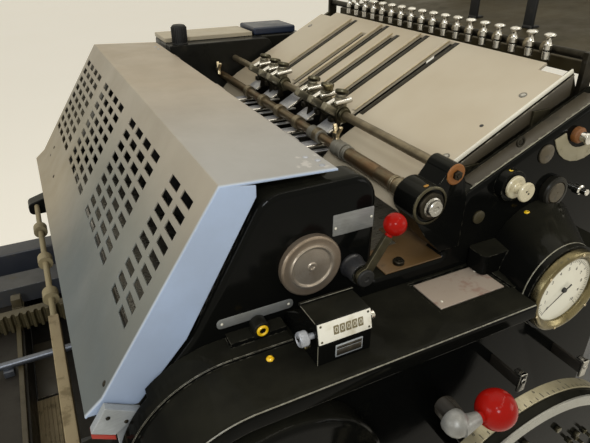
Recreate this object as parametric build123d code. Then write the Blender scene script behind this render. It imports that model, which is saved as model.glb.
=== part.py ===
from build123d import *
import math
import os

# Cylinder letterpress. X runs along the press from the bed's runway to the feeder, Y across it from the
# operator's side at -Y to the drive side at +Y, Z up from the floor. Sizes are in millimetres.
# X is measured from the cylinder's axis and Y from the middle of the press. The last lines move
# every piece so that the origin lies on the floor in the middle of the whole press.

# Gaps
SEAT = 0.3
RUN = 0.6

# Main sizes
AXIS_Z = 960.0
FRAME_FACE = 455.0
FRAME_T = 40.0
CYLINDER_R = 110.0
CYLINDER_L = 770.0
TYPE_HIGH = 24.0

# Base: two long walls on flanges, end walls and cross ties
BASE_X0 = -1130.0
BASE_X1 = 1460.0
BASE_TOP = 610.0
BASE_WALL_T = 58.0
BASE_FLANGE_H = 40.0
BASE_FLANGE_OUT = 30.0
BASE_PANEL_COUNT = 5
BASE_PANEL_DEPTH = 12.0
BASE_PANEL_Z0 = 130.0
BASE_PANEL_Z1 = 500.0
BASE_PANEL_GAP = 70.0
BASE_PANEL_R = 45.0
BASE_END_T = 45.0
BASE_END_DROP = 90.0
TIE_XS = (-820.0, -478.0, 60.0, 560.0, 960.0, 1330.0)
TIE_W = 60.0
TIE_H = 90.0
TIE_TOP = 540.0

# Bed and its runway
RAIL_Y = 300.0
RAIL_W = 70.0
RAIL_H = 46.0
RAIL_X0 = -1040.0
RAIL_X1 = 780.0
RACK_Y = 150.0
RACK_W = 26.0
RACK_H = 44.0
RACK_PITCH = 16.0
RACK_TOOTH = 10.0
RACK_X0 = -520.0
RACK_TEETH = 40
BED_X0 = -230.0
BED_X1 = 510.0
BED_W = 744.0
BED_T = 70.0
BED_SHOE_W = 60.0

# Side frames: ear round the cylinder, dip for the delivery, and the table's frame beyond it
EAR_TOP = 113.0
EAR_X0 = -62.0
EAR_X1 = 104.0
EAR_R = 40.0
EAR_FLARE_X = -165.0
EAR_FLARE_DROP = 66.0
EAR_HEEL_X = -300.0
EAR_HEEL_DROP = 215.0
HEEL_X0 = -400.0
HEEL_DROP = 232.0
LUG_X0 = -356.0
LUG_H = 30.0
DIP_X1 = 242.0
DIP_DROP = 62.0
SHOULDER_DROP = 10.0
TABLE_FRAME_X = 268.0
TABLE_FRAME_RISE = 43.0
TABLE_SLOPE_RISE0 = 30.0
TABLE_SLOPE_X1 = 540.0
TABLE_FRAME_TOP = 165.0
TABLE_FRAME_X1 = 900.0
TABLE_FRAME_R = 40.0
HEEL_R = 20.0
EAR_FLARE_R = 140.0
DIP_R = 12.0
EDGE_R = 10.0
JOURNAL_R = 36.0
WALL_STEP = 16.0
WALL_RISE = 130.0
WALL_X1 = 345.0

# Bearing cap
CAP_R = 45.0
CAP_T = 11.0
CAP_STEP = 2.0
CAP_DISC_R = 27.0
CAP_DISC_OUT = 1.5
CAP_GROOVE = 2.5
CAP_CENTRE_R = 3.5

# Guard: folded sheet over the cylinder
GUARD_INSET = 3.0
GUARD_OVER = 45.0
GUARD_T = 3.0
GUARD_TOP_X = 42.0
GUARD_TOP_RISE = 128.0
GUARD_FOLD_X = -115.0
GUARD_FOLD_RISE = 135.0
GUARD_LIP_X = -287.0
GUARD_LIP_DROP = 120.0
GUARD_END_X = -311.0
GUARD_END_DROP = 140.0
FLANGE_GAP = 8.0
HOLE_ALONG = 12.5
HOLE_ACROSS = 40.0
HOLE_PITCH_ALONG = 22.2
HOLE_PITCH_ACROSS = 55.0
HOLE_ROWS = 9
HOLE_FIRST = 44.5
HOLE_STARTS = (-392.0, -230.0, 40.0, 296.0)
HOLE_COLUMNS = (2, 4, 4, 4)
HINGE_ROD_R = 5.0
HINGE_X = 42.0
HINGE_DROP = 9.0
HINGE_LUG_W = 18.0
HINGE_LUG_T = 12.0
HINGE_LUG_H = 45.0
KNUCKLE_R = 8.0
KNUCKLE_W = 40.0
KNUCKLE_YS = (-330.0, -20.0, 290.0)

# Interlock and the pieces under the guard's lower edge
LOCK_BOX_T = 12.0
LOCK_TAB_T = 4.0
LOCK_RED_H = 8.0
LOCK_CORNERS = ((-286.0, 121.0), (-246.0, 146.0), (-281.0, 170.0), (-308.0, 154.0))
LOCK_TAB = ((-279.0, 169.0), (-246.0, 146.0), (-238.0, 160.0), (-238.0, 205.0), (-279.0, 205.0))
STRIP_X = -336.0
STRIP_W = 18.0
STRIP_H = 26.0
STRIP_DROP = 226.0
STRIP_Y1 = -95.0
DELIVERY_ROLLER_R = 15.0
DELIVERY_SHAFT_R = 6.0
DELIVERY_ROLLER_W = 26.0
DELIVERY_YS = (-25.0, 115.0, 265.0)

# Control shelf and gear case
SHELF_DROP = 86.0
SHELF_OUT = 131.0
SHELF_T = 24.0
SHELF_X0 = -44.0
SHELF_X1 = 309.0
SHELF_EDGE_R = 7.0
CASE_OUT = 85.0
CASE_ARC_X = -130.0
CASE_ARC_R = 150.0
CASE_RIGHT = 560.0
CASE_BOTTOM = 300.0
CASE_FOOT_R = 60.0
LEDGE_OUT = 43.0
LEDGE_RISE = 5.0
PAD_OUT = 23.0
PAD_RISE = 12.0
PAD_X0 = -124.0
LOCK_POCKET_X = -235.0
LOCK_POCKET_OUT = 15.0
LOCK_POCKET_DROP = 215.0
PLATE_SEAT_X0 = 170.0
PLATE_SEAT_X1 = 309.0
PLATE_SEAT_OUT0 = 6.0
PLATE_SEAT_OUT1 = 82.0
PLATE_SEAT_DEPTH = 4.0
PLATE_MARGIN = 8.0
PLATE_T = 2.0

# Gauge and its barrel
GAUGE_X = 382.0
GAUGE_DROP = 93.0
BARREL_R = 74.0
BARREL_RIM = 12.0
HOOD_X = 435.0
HOOD_DROP = 105.0
HOOD_R = 104.0
LUMP_X0 = 287.0
LUMP_OUT = 40.0
LUMP_H = 34.0
LUMP_R = 9.0
BARREL_OUT = 113.0
BEZEL_R = 70.0
BEZEL_T = 13.0
BEZEL_RIM = 11.0
DIAL_T = 3.0

# Control drum with its two steel bands, and the lever behind it
DRUM_X = 236.0
DRUM_DROP = 349.0
DRUM_R = 199.0
DRUM_OUT = 205.0
DRUM_BAND = 19.0
DRUM_GROOVE_W = 14.0
DRUM_GROOVE = 3.0
DRUM_RING_T = 4.0
DRUM_RING_IN = 182.0
DRUM_DISH = 16.0
DRUM_SHAFT_R = 30.0
LEVER_ANGLE = 123.0
LEVER_T = 10.0
LEVER_W = 34.0
LEVER_CLEAR = 5.5
LEVER_HUB_R = 52.0
LEVER_REACH = 284.0
HEAD_R = 12.0
HEAD_L = 44.0
HEAD_OUT = 20.0
BALL_R = 25.0
BALL_NECK_R = 7.0
BALL_NECK_L = 5.0

# Round gear cover below the shelf
COVER_X = -100.0
COVER_DROP = 300.0
COVER_R = 163.0
COVER_T = 44.0
COVER_EDGE = 12.0

# Counter
COUNTER_X0 = -38.0
COUNTER_X1 = 40.0
COUNTER_OUT = 97.0
COUNTER_BACK_OUT = 45.0
COUNTER_TOP = 24.0
COUNTER_FACE_H = 28.0
COUNTER_LEAN = 7.0
COUNTER_FACE_T = 1.6
RESET_R = 10.0
RESET_T = 12.0
RESET_SHAFT_R = 4.0
RESET_GAP = 8.0
RESET_BORE = 9.0
RESET_OUT = 83.0
RESET_DROP = 46.0

# Stop lever
STOP_X = 68.0
STOP_DROP = 23.0
STOP_BOSS_R = 15.0
STOP_BOSS_L = 28.0
STOP_PIN_R = 6.0
STOP_ARM_T = 7.0
STOP_ARM_W = 14.0
STOP_ANGLE = 58.0
STOP_LENGTH = 84.0
STOP_BALL_R = 16.0
STOP_BALL_OUT = 3.0

# Lay plate and its cheeks
LAY_GAP = 10.0
LAY_GAP_DRIVE = 19.0
LAY_T = 5.0
LAY_POINTS = ((183.0, 10.0), (205.0, 33.0), (229.0, 50.0), (273.0, 73.0), (506.0, 194.0))
LAY_CORNER_X = 488.0
LAY_CORNER_W = 52.0
SLOT_W = 15.0
SLOT_YS = (-126.0, -34.0, 45.0, 112.0, 141.0, 240.0)
SLOT_ENDS = (502.0, 500.0, 478.0, 498.0, 466.0, 490.0)
SLOT_START = 26.0
NOTCH_X = 270.0
NOTCH_Y0 = -162.0
NOTCH_Y1 = 248.0
CHEEK_T = 9.0
CHEEK_H = 66.0
CHEEK_FOOT_XS = (290.0, 425.0)
CHEEK_FOOT_W = 36.0
CHEEK_FOOT_H = 60.0

# Guide rods
ROD_FRONT_X = 192.0
ROD_FRONT_RISE = 45.0
ROD_FRONT_R = 9.5
ROD_REAR_X = 232.0
ROD_REAR_RISE = 86.0
ROD_REAR_R = 7.0
ROD_OUT = 10.0
REAR_ROD_OUT = 7.0
BRACKET_T = 5.5
BRACKET_R = 30.0
REAR_BRACKET_R = 16.0
BRACKET_OUT = 6.0
CASTING_LOW = ((168.0, 28.0), (192.0, -8.0), (224.0, -42.0), (262.0, -42.0))
CASTING_HIGH = ((262.0, 42.0), (248.0, 88.0), (218.0, 92.0))
RIB_X1 = 238.0
CLAMP_YS = (-150.0, -95.0, -40.0, 105.0, 150.0, 205.0)
CLAMP_W = 18.0
CLAMP_WALL = 4.5
FINGER_COUNT = 5
FINGER_Y0 = -133.0
FINGER_PITCH = 88.0
FINGER_W = 40.0
FINGER_X0 = 136.0
FINGER_X1 = 262.0
FINGER_T = 4.0
FINGER_LIP = 9.0
COLLAR_W = 16.0

# Knob rail
KNOB_X = 517.0
KNOB_RISE = 196.0
KNOB_SHAFT_R = 7.0
KNOB_SHAFT_UP = 16.0
KNOB_COUNT = 18
KNOB_Y0 = -339.0
KNOB_Y1 = 296.0
KNOB_BARREL_R = 7.2
KNOB_BARREL_H = 24.0
KNOB_NECK_R = 5.0
KNOB_R = 10.0
KNOB_H = 44.0
KNOB_CAP_H = 8.0
POST_T = 9.0
POST_W = 22.0

# Main feed board
BOARD_X0 = 560.0
BOARD_X1 = 1190.0
BOARD_RISE0 = 196.0
BOARD_RISE1 = 262.0
BOARD_T = 22.0
LEDGE_X0 = 600.0
LEDGE_T = 12.0
LEDGE_H = 70.0

# Feeder
FEEDER_X0 = 960.0
FEEDER_X1 = 1560.0
FEEDER_TOP = 1420.0
FEEDER_T = 40.0
FEEDER_HEAD_X0 = 1150.0
FEEDER_HEAD_X1 = 1300.0
FEEDER_HEAD_DROP = 120.0
FEEDER_HEAD_H = 90.0
PILE_T = 45.0
PILE_X0 = 930.0
PILE_X1 = 1400.0
PILE_GAP = 7.0

# Adjusting knob with two discs
ADJUST_X = 346.0
ADJUST_RISE = 47.0
ADJUST_BOSS_R = 25.0
ADJUST_BOSS_L = 15.0
ADJUST_DISC_R = 18.5
ADJUST_END_R = 15.5
ADJUST_DISC_T = 6.0
ADJUST_NECK_R = 7.0
ADJUST_NECK_L = 14.0
ADJUST_BORE = 12.0

# Drive side
DRIVE_OUT = 120.0
DRIVE_GAP = 8.0
DRIVE_X1 = 480.0
DRIVE_Z0 = 160.0
DRIVE_R = 60.0
BELT_X0 = 120.0
BELT_Z0 = 500.0
BELT_R = 130.0
BELT_T = 50.0
MOTOR_X = 760.0
MOTOR_Z = 290.0
MOTOR_R = 100.0
MOTOR_FOOT_W = 150.0
TOP_BOX_X1 = 305.0
TOP_BOX_H = 11.0
CAP_KNOB_X = 90.0
CAP_KNOB_R = 20.0
CAP_KNOB_H = 48.0
HOUSING_X0 = 311.0
HOUSING_X1 = 440.0
HOUSING_H = 20.0


def face_in_xz(points, radii=0.0):
    """Face drawn as X and Z, lying in the plane Y = 0 and facing the operator."""
    plane = Plane(origin=(0, 0, 0), x_dir=(1, 0, 0), z_dir=(0, -1, 0))
    return plane * make_face(FilletPolyline(*points, radius=radii, close=True))


def slab(points, y0, y1, radii=0.0):
    """Plate with an outline in X and Z that reaches from y0 to y1."""
    return Pos(0, y1, 0) * extrude(face_in_xz(points, radii), y1 - y0)


def block(x0, x1, y0, y1, z0, z1):
    """Block between the given limits."""
    size = Box(x1 - x0, y1 - y0, z1 - z0, align=(Align.MIN, Align.MIN, Align.MIN))
    return Pos(x0, y0, z0) * size


def rod_y(x, z, radius, y0, y1):
    """Round bar across the press."""
    bar = Cylinder(radius, y1 - y0, align=(Align.CENTER, Align.CENTER, Align.MIN))
    return Pos(x, y0, z) * Rot(-90, 0, 0) * bar


def rod_x(y, z, radius, x0, x1):
    """Round bar along the press."""
    bar = Cylinder(radius, x1 - x0, align=(Align.CENTER, Align.CENTER, Align.MIN))
    return Pos(x0, y, z) * Rot(0, 90, 0) * bar


def fuse(pieces):
    """One shape from several."""
    whole = pieces[0]
    for piece in pieces[1:]:
        whole = whole + piece
    return whole


def mirror_y(shape):
    """The same piece on the other side of the press."""
    return mirror(shape, Plane.XZ)


def up(rise):
    """Height above the floor of a point that is rise above the cylinder's axis."""
    return AXIS_Z + rise


PARTS = {}


# Base

WALL_IN = FRAME_FACE - BASE_WALL_T
FRAME_IN = FRAME_FACE - FRAME_T
BARREL_FRONT = FRAME_FACE + BARREL_OUT
DRUM_BACK = FRAME_FACE + DRUM_OUT
COUNTER_FRONT = FRAME_FACE + COUNTER_OUT
COUNTER_BACK = FRAME_FACE + COUNTER_BACK_OUT
RESET_Y = FRAME_FACE + RESET_OUT
PLATE_SEAT_Y0 = FRAME_FACE + PLATE_SEAT_OUT0
PLATE_SEAT_Y1 = FRAME_FACE + PLATE_SEAT_OUT1
LAY_OPERATOR = FRAME_IN - LAY_GAP
LAY_DRIVE = FRAME_IN - LAY_GAP_DRIVE
CASE_BACK = -FRAME_FACE - SEAT


def base_wall():
    """Operator's long wall, with a foot flange and a row of sunk panels."""
    body = block(BASE_X0, BASE_X1, -FRAME_FACE, -WALL_IN, 0, BASE_TOP)
    flange = block(BASE_X0, BASE_X1, -FRAME_FACE - BASE_FLANGE_OUT, -FRAME_FACE, 0, BASE_FLANGE_H)
    body = body + flange
    pitch = (BASE_X1 - BASE_X0 - BASE_PANEL_GAP) / BASE_PANEL_COUNT
    panels = []
    for number in range(BASE_PANEL_COUNT):
        x0 = BASE_X0 + BASE_PANEL_GAP + number * pitch
        x1 = x0 + pitch - BASE_PANEL_GAP
        corners = [(x0, BASE_PANEL_Z0), (x1, BASE_PANEL_Z0), (x1, BASE_PANEL_Z1), (x0, BASE_PANEL_Z1)]
        panels.append(slab(corners, -FRAME_FACE, -FRAME_FACE + BASE_PANEL_DEPTH, BASE_PANEL_R))
    return body - panels


def base_cross_members():
    """End walls and the cross beams that carry the bed's rails."""
    half = WALL_IN - SEAT
    top = BASE_TOP - BASE_END_DROP
    pieces = [block(x, x + BASE_END_T, -half, half, 0, top) for x in (BASE_X0, BASE_X1 - BASE_END_T)]
    pieces += [block(x, x + TIE_W, -half, half, TIE_TOP - TIE_H, TIE_TOP) for x in TIE_XS]
    return Compound(pieces)


PARTS["base_wall_operator"] = base_wall()
PARTS["base_wall_drive"] = mirror_y(base_wall())
PARTS["base_cross_members"] = base_cross_members()


# Bed and runway

RAIL_TOP = TIE_TOP + SEAT + RAIL_H
BED_TOP = AXIS_Z - CYLINDER_R - TYPE_HIGH


def bed_rails():
    """Two flat rails with rounded top edges."""
    rails = []
    for side in (-1, 1):
        middle = side * RAIL_Y
        rail = block(RAIL_X0, RAIL_X1, middle - RAIL_W / 2, middle + RAIL_W / 2, TIE_TOP + SEAT, RAIL_TOP)
        rails.append(rail)
    return Compound(rails)


def bed_rack():
    """Rack beside the runway, its teeth towards the operator."""
    length = RACK_TEETH * RACK_PITCH
    base = TIE_TOP + SEAT
    body = block(RACK_X0, RACK_X0 + length, RACK_Y, RACK_Y + RACK_W, base, base + RACK_H)
    wide = RACK_PITCH / 3
    narrow = RACK_PITCH / 8
    gap = [(-wide, 0), (wide, 0), (narrow, RACK_TOOTH), (-narrow, RACK_TOOTH)]
    cutter = extrude(make_face(Polyline(*gap, close=True)), RACK_H)
    starts = [RACK_X0 + (number + 0.5) * RACK_PITCH for number in range(RACK_TEETH)]
    return body - [Pos(x, RACK_Y, base) * cutter for x in starts]


def type_bed():
    """Flat bed on two long shoes that ride on the rails."""
    under = BED_TOP - BED_T
    pieces = [block(BED_X0, BED_X1, -BED_W / 2, BED_W / 2, under, BED_TOP)]
    for side in (-1, 1):
        y0 = side * RAIL_Y - BED_SHOE_W / 2
        pieces.append(block(BED_X0, BED_X1, y0, y0 + BED_SHOE_W, RAIL_TOP + SEAT, under - SEAT))
    return Compound(pieces)


PARTS["bed_rails"] = bed_rails()
PARTS["bed_rack"] = bed_rack()
PARTS["type_bed"] = type_bed()


# Side frames and cylinder

def side_frame(heel, heel_radii, top_points, top_radii):
    """Side frame from its heel over the rounded ear and the given top line to the slope of the table."""
    z0 = BASE_TOP + SEAT
    points = [
        *heel,
        (EAR_HEEL_X, up(-EAR_HEEL_DROP)),
        (EAR_FLARE_X, up(-EAR_FLARE_DROP)),
        (EAR_X0, up(EAR_TOP)),
        *top_points,
        (TABLE_SLOPE_X1, up(TABLE_FRAME_TOP)),
        (TABLE_FRAME_X1, up(TABLE_FRAME_TOP)),
        (TABLE_FRAME_X1, z0),
    ]
    radii = [*heel_radii, EAR_FLARE_R, EAR_R, *top_radii, TABLE_FRAME_R, TABLE_FRAME_R, 0]
    frame = slab(points, -FRAME_FACE, -FRAME_FACE + FRAME_T, radii)
    return frame - rod_y(0, AXIS_Z, JOURNAL_R + SEAT, -FRAME_FACE, -FRAME_FACE + FRAME_T)


def operator_frame():
    """Frame that dips behind the ear, with the bosses of the stop lever and the adjusting knob."""
    top = [
        (EAR_X1, up(EAR_TOP)),
        (EAR_X1, up(-DIP_DROP)),
        (DIP_X1, up(-DIP_DROP)),
        (DIP_X1, up(-SHOULDER_DROP)),
        (TABLE_FRAME_X, up(TABLE_FRAME_RISE)),
    ]
    heel = [(HEEL_X0, BASE_TOP + SEAT), (HEEL_X0, up(-HEEL_DROP))]
    frame = side_frame(heel, [0, HEEL_R, 2 * HEEL_R], top, [EAR_R, DIP_R, DIP_R, DIP_R, DIP_R])
    front = frame.faces().sort_by(Axis.Y)[0]
    rim = [edge for edge in front.outer_wire().edges() if edge.center().Z > up(-EAR_FLARE_DROP)]
    rim = [edge for edge in rim if edge.center().X < EAR_X1 + EDGE_R]
    frame = fillet(rim, EDGE_R)
    return frame + stop_boss() + adjusting_boss() - adjusting_bore()


def drive_frame():
    """Frame whose ear runs on at one height up to the sheet table."""
    top = [
        (HINGE_X + WALL_STEP, up(EAR_TOP)),
        (HINGE_X + WALL_STEP, up(WALL_RISE)),
        (WALL_X1, up(WALL_RISE)),
        (WALL_X1, up(TABLE_SLOPE_RISE0)),
    ]
    heel = [
        (EAR_HEEL_X, BASE_TOP + SEAT),
        (EAR_HEEL_X, up(-HEEL_DROP - LUG_H)),
        (LUG_X0, up(-HEEL_DROP - LUG_H)),
        (LUG_X0, up(-HEEL_DROP)),
    ]
    return mirror_y(side_frame(heel, [0, DIP_R, DIP_R, DIP_R, HEEL_R], top, [0, 0, 2 * DIP_R, 0]))


def bearing_cap():
    """Turned cap over the end of the cylinder's shaft."""
    profile = [
        (0, SEAT),
        (CAP_R - CAP_STEP, SEAT),
        (CAP_R - CAP_STEP, CAP_STEP),
        (CAP_R, CAP_STEP),
        (CAP_R, CAP_T - CAP_STEP),
        (CAP_R - CAP_STEP, CAP_T),
        (CAP_DISC_R + 2 * CAP_GROOVE, CAP_T),
        (CAP_DISC_R + CAP_GROOVE, CAP_T - CAP_GROOVE),
        (CAP_DISC_R, CAP_T - CAP_GROOVE),
        (CAP_DISC_R, CAP_T + CAP_DISC_OUT),
        (CAP_CENTRE_R, CAP_T + CAP_DISC_OUT),
        (CAP_CENTRE_R, CAP_T - CAP_GROOVE),
        (0, CAP_T - CAP_GROOVE),
    ]
    turned = revolve(make_face(Polyline(*profile, close=True)), Axis.Y)
    return Pos(0, -FRAME_FACE, AXIS_Z) * Rot(180, 0, 0) * turned


def impression_cylinder():
    """Cylinder with its sheet gap, on journals that run in the side frames."""
    half = CYLINDER_L / 2
    body = rod_y(0, AXIS_Z, CYLINDER_R, -half, half)
    shape = [(0.55, -1.2), (0.82, -1.2), (0.64, -0.64), (0.41, -0.64)]
    gap = slab([(x * CYLINDER_R, up(z * CYLINDER_R)) for x, z in shape], -half, half)
    body = body - gap
    journal_end = FRAME_FACE - SEAT
    journal = rod_y(0, AXIS_Z, JOURNAL_R, -journal_end, journal_end)
    return body + journal


PARTS["side_frame_drive"] = drive_frame()
PARTS["bearing_cap"] = bearing_cap()
PARTS["impression_cylinder"] = impression_cylinder()


# Guard

HINGE_Z = up(GUARD_TOP_RISE - HINGE_DROP)
GUARD_NEAR = -FRAME_FACE + GUARD_INSET
GUARD_FAR = FRAME_FACE + GUARD_OVER


def guard_line(offset):
    """Guard's profile, moved inwards by offset."""
    top_z = up(GUARD_TOP_RISE) - offset
    fold = (GUARD_FOLD_X + 0.55 * offset, up(GUARD_FOLD_RISE) - offset)
    lip = (GUARD_LIP_X + 0.85 * offset, up(-GUARD_LIP_DROP) - 0.3 * offset)
    end = (GUARD_END_X + 0.64 * offset, up(-GUARD_END_DROP) - 0.77 * offset)
    return [(GUARD_TOP_X, top_z), fold, lip, end]


def cylinder_guard():
    """Folded cover with three groups of four and one of two columns of slots."""
    outer = guard_line(0)
    inner = guard_line(GUARD_T)
    sheet = slab(outer + inner[::-1], GUARD_NEAR, GUARD_FAR)
    lip = Vector(*outer[2])
    fold = Vector(*outer[1])
    along = (lip - fold).normalized()
    angle = math.degrees(math.atan2(-along.Y, along.X))
    hole = Rot(0, angle, 0) * Box(HOLE_ALONG, HOLE_ACROSS, 6 * GUARD_T)
    holes = []
    for start, columns in zip(HOLE_STARTS, HOLE_COLUMNS):
        for column in range(columns):
            for row in range(HOLE_ROWS):
                at = fold + along * (HOLE_FIRST + row * HOLE_PITCH_ALONG)
                holes.append(Pos(at.X, start + column * HOLE_PITCH_ACROSS, at.Y) * hole)
    sheet = sheet - holes
    side = outer[1:] + [
        (EAR_FLARE_X - FLANGE_GAP - 72, up(-GUARD_END_DROP - 6)),
        (EAR_FLARE_X - FLANGE_GAP, up(-EAR_FLARE_DROP)),
        (EAR_X0 - FLANGE_GAP, up(EAR_TOP)),
        (EAR_X0 - FLANGE_GAP, up(GUARD_TOP_RISE)),
    ]
    near = slab(side, GUARD_NEAR, GUARD_NEAR + GUARD_T)
    far = slab(side, GUARD_FAR - GUARD_T, GUARD_FAR)
    knuckles = [rod_y(HINGE_X, HINGE_Z, KNUCKLE_R, y, y + KNUCKLE_W) for y in KNUCKLE_YS]
    shell = fuse([sheet, near, far] + knuckles)
    return shell - rod_y(HINGE_X, HINGE_Z, HINGE_ROD_R + RUN, GUARD_NEAR, GUARD_FAR)


def guard_hinge_rod():
    """Rod on which the guard turns, with a lug under each end on the side frames."""
    end = FRAME_IN - SEAT
    x0 = HINGE_X - HINGE_LUG_W / 2
    top = HINGE_Z - HINGE_ROD_R - SEAT
    lug = block(x0, x0 + HINGE_LUG_W, -end, -end + HINGE_LUG_T, top - HINGE_LUG_H, top)
    rod = rod_y(HINGE_X, HINGE_Z, HINGE_ROD_R, -end, end)
    return Compound([rod, lug, mirror_y(lug)])


PARTS["cylinder_guard"] = cylinder_guard()
PARTS["guard_hinge_rod"] = guard_hinge_rod()


# Interlock, strip and delivery rollers

def interlock_bracket():
    """Small aluminium cover on a tab that is screwed to the frame below the guard's lower corner."""
    cover = slab([(x, up(-drop)) for x, drop in LOCK_CORNERS], CASE_BACK - LOCK_BOX_T, CASE_BACK)
    tab = slab([(x, up(-drop)) for x, drop in LOCK_TAB], CASE_BACK - LOCK_TAB_T, CASE_BACK)
    return cover + tab


def interlock_switch():
    """Red actuator under the cover's lower edge."""
    (x1, drop1), (x0, drop0) = LOCK_CORNERS[2:]
    gap = 1.5 * SEAT
    top = [(x1, up(-drop1) - gap), (x0, up(-drop0) - gap)]
    bottom = [(x0, up(-drop0) - LOCK_RED_H), (x1, up(-drop1) - LOCK_RED_H)]
    return slab(top + bottom, CASE_BACK - LOCK_BOX_T, CASE_BACK)


def wiper_strip():
    """Square bar across the press below the guard's lower edge."""
    z1 = up(-STRIP_DROP)
    return block(STRIP_X - STRIP_W / 2, STRIP_X + STRIP_W / 2, -FRAME_IN + SEAT, STRIP_Y1, z1 - STRIP_H, z1)


def delivery_rollers():
    """Narrow rollers on a shaft between the strip's end and the drive side frame."""
    z = up(-STRIP_DROP) - STRIP_H / 2
    shaft = rod_y(STRIP_X, z, DELIVERY_SHAFT_R, STRIP_Y1 + SEAT, FRAME_IN - SEAT)
    rollers = [rod_y(STRIP_X, z, DELIVERY_ROLLER_R, y, y + DELIVERY_ROLLER_W) for y in DELIVERY_YS]
    return fuse([shaft] + rollers)


PARTS["interlock_bracket"] = interlock_bracket()
PARTS["interlock_switch"] = interlock_switch()
PARTS["wiper_strip"] = wiper_strip()
PARTS["delivery_rollers"] = delivery_rollers()


# Control shelf, gauge and cover

SHELF_Z = up(-SHELF_DROP)
CASE_FRONT = -FRAME_FACE - CASE_OUT
SHELF_FRONT = -FRAME_FACE - SHELF_OUT
CASE_LEFT = CASE_ARC_X - CASE_ARC_R
ARC_Z = SHELF_Z - CASE_ARC_R


def case_arch(offset, x1, y0, y1):
    """Outline of the case's top, rounded down at its left end, grown outwards by offset."""
    left = CASE_LEFT - offset
    corners = [(left, ARC_Z), (left, SHELF_Z + offset), (x1, SHELF_Z + offset), (x1, ARC_Z)]
    return slab(corners, y0, y1, [0, CASE_ARC_R + offset - SEAT, 0, 0])


def on_arch(point, square, arc_x, arc_z):
    """Whether a point is on the arch's flat top or on its arc."""
    away = (point.X - arc_x) ** 2 + (point.Z - arc_z) ** 2
    return point.Z > SHELF_Z - SEAT or (point.X < arc_x and away > 0.97 * square)


def control_case():
    """Cast case on the operator's side, with a shelf that overhangs its front wall."""
    top = case_arch(0, CASE_RIGHT, CASE_FRONT, CASE_BACK)
    low = [(CASE_LEFT, CASE_BOTTOM), (CASE_LEFT, ARC_Z), (CASE_RIGHT, ARC_Z), (CASE_RIGHT, CASE_BOTTOM)]
    body = top + slab(low, CASE_FRONT, CASE_BACK, [CASE_FOOT_R, 0, 0, CASE_FOOT_R])
    under = case_arch(-SHELF_T, SHELF_X1, SHELF_FRONT, CASE_FRONT)
    shelf = case_arch(0, SHELF_X1, SHELF_FRONT, CASE_FRONT) - under
    front = shelf.faces().sort_by(Axis.Y)[0]
    arc_points = [CASE_ARC_R * CASE_ARC_R, CASE_ARC_X, ARC_Z]
    outer = [edge for edge in front.edges() if on_arch(edge.center(), *arc_points)]
    shelf = fillet(outer, SHELF_EDGE_R)
    ledge = case_arch(LEDGE_RISE, SHELF_X0, -FRAME_FACE - LEDGE_OUT, CASE_BACK)
    pad = block(PAD_X0, SHELF_X0, -FRAME_FACE - PAD_OUT, CASE_BACK, SHELF_Z, SHELF_Z + PAD_RISE)
    seat_z = SHELF_Z - PLATE_SEAT_DEPTH
    seat = block(PLATE_SEAT_X0, PLATE_SEAT_X1, -PLATE_SEAT_Y1, -PLATE_SEAT_Y0, seat_z, SHELF_Z)
    pocket_left = CASE_LEFT - 2 * LEDGE_RISE
    pocket_y = -FRAME_FACE - LOCK_POCKET_OUT
    pocket = block(pocket_left, LOCK_POCKET_X, pocket_y, CASE_BACK, up(-LOCK_POCKET_DROP), SHELF_Z)
    return fuse([body, shelf, ledge, pad]) - seat - pocket


def spec_plate():
    """Plain plate in the recess of the shelf."""
    z0 = SHELF_Z - PLATE_SEAT_DEPTH + SEAT
    x0 = PLATE_SEAT_X0 + PLATE_MARGIN
    x1 = PLATE_SEAT_X1 - PLATE_MARGIN
    return block(x0, x1, -PLATE_SEAT_Y1 + PLATE_MARGIN, -PLATE_SEAT_Y0 - PLATE_MARGIN / 2, z0, z0 + PLATE_T)


def gear_cover():
    """Round cover with a domed front."""
    body = rod_y(COVER_X, up(-COVER_DROP), COVER_R, CASE_FRONT - SEAT - COVER_T, CASE_FRONT - SEAT)
    rim = body.edges().filter_by(GeomType.CIRCLE).sort_by(Axis.Y)[0]
    return fillet(rim, COVER_EDGE)


GAUGE_Z = up(-GAUGE_DROP)


def circle_at(x, z, radius, y):
    """Round section in the plane at y."""
    return Pos(x, y, z) * Rot(90, 0, 0) * Circle(radius)


def gauge_hood():
    """Flared hood from the side frame to the gauge: it stands on the shelf, its front is a full disc."""
    neck = -BARREL_FRONT + BARREL_RIM
    wide = circle_at(HOOD_X, up(-HOOD_DROP), HOOD_R, CASE_BACK)
    flare = loft([wide, circle_at(GAUGE_X, GAUGE_Z, BARREL_R, neck)])
    whole = flare + rod_y(GAUGE_X, GAUGE_Z, BARREL_R, -BARREL_FRONT, neck)
    reach = 3 * BARREL_R
    x0 = GAUGE_X - reach
    below = block(x0, GAUGE_X + reach, CASE_FRONT - SEAT, CASE_BACK, GAUGE_Z - reach, SHELF_Z + SEAT)
    beside = block(x0, SHELF_X1 + SEAT, SHELF_FRONT - SEAT, CASE_FRONT, GAUGE_Z - reach, SHELF_Z + SEAT)
    lump_y = -FRAME_FACE - LUMP_OUT
    lump = block(LUMP_X0, GAUGE_X, lump_y, CASE_BACK, SHELF_Z + SEAT, SHELF_Z + LUMP_H)
    rounded = lump.faces().sort_by(Axis.X)[0].edges().filter_by(Axis.Z)
    return whole - below - beside + fillet(rounded, LUMP_R)


def gauge_bezel():
    """Turned ring with a seat for the dial."""
    back = -BARREL_FRONT - SEAT
    ring = rod_y(GAUGE_X, GAUGE_Z, BEZEL_R, back - BEZEL_T, back)
    return ring - rod_y(GAUGE_X, GAUGE_Z, BEZEL_R - BEZEL_RIM, back - BEZEL_T, back)


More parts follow.
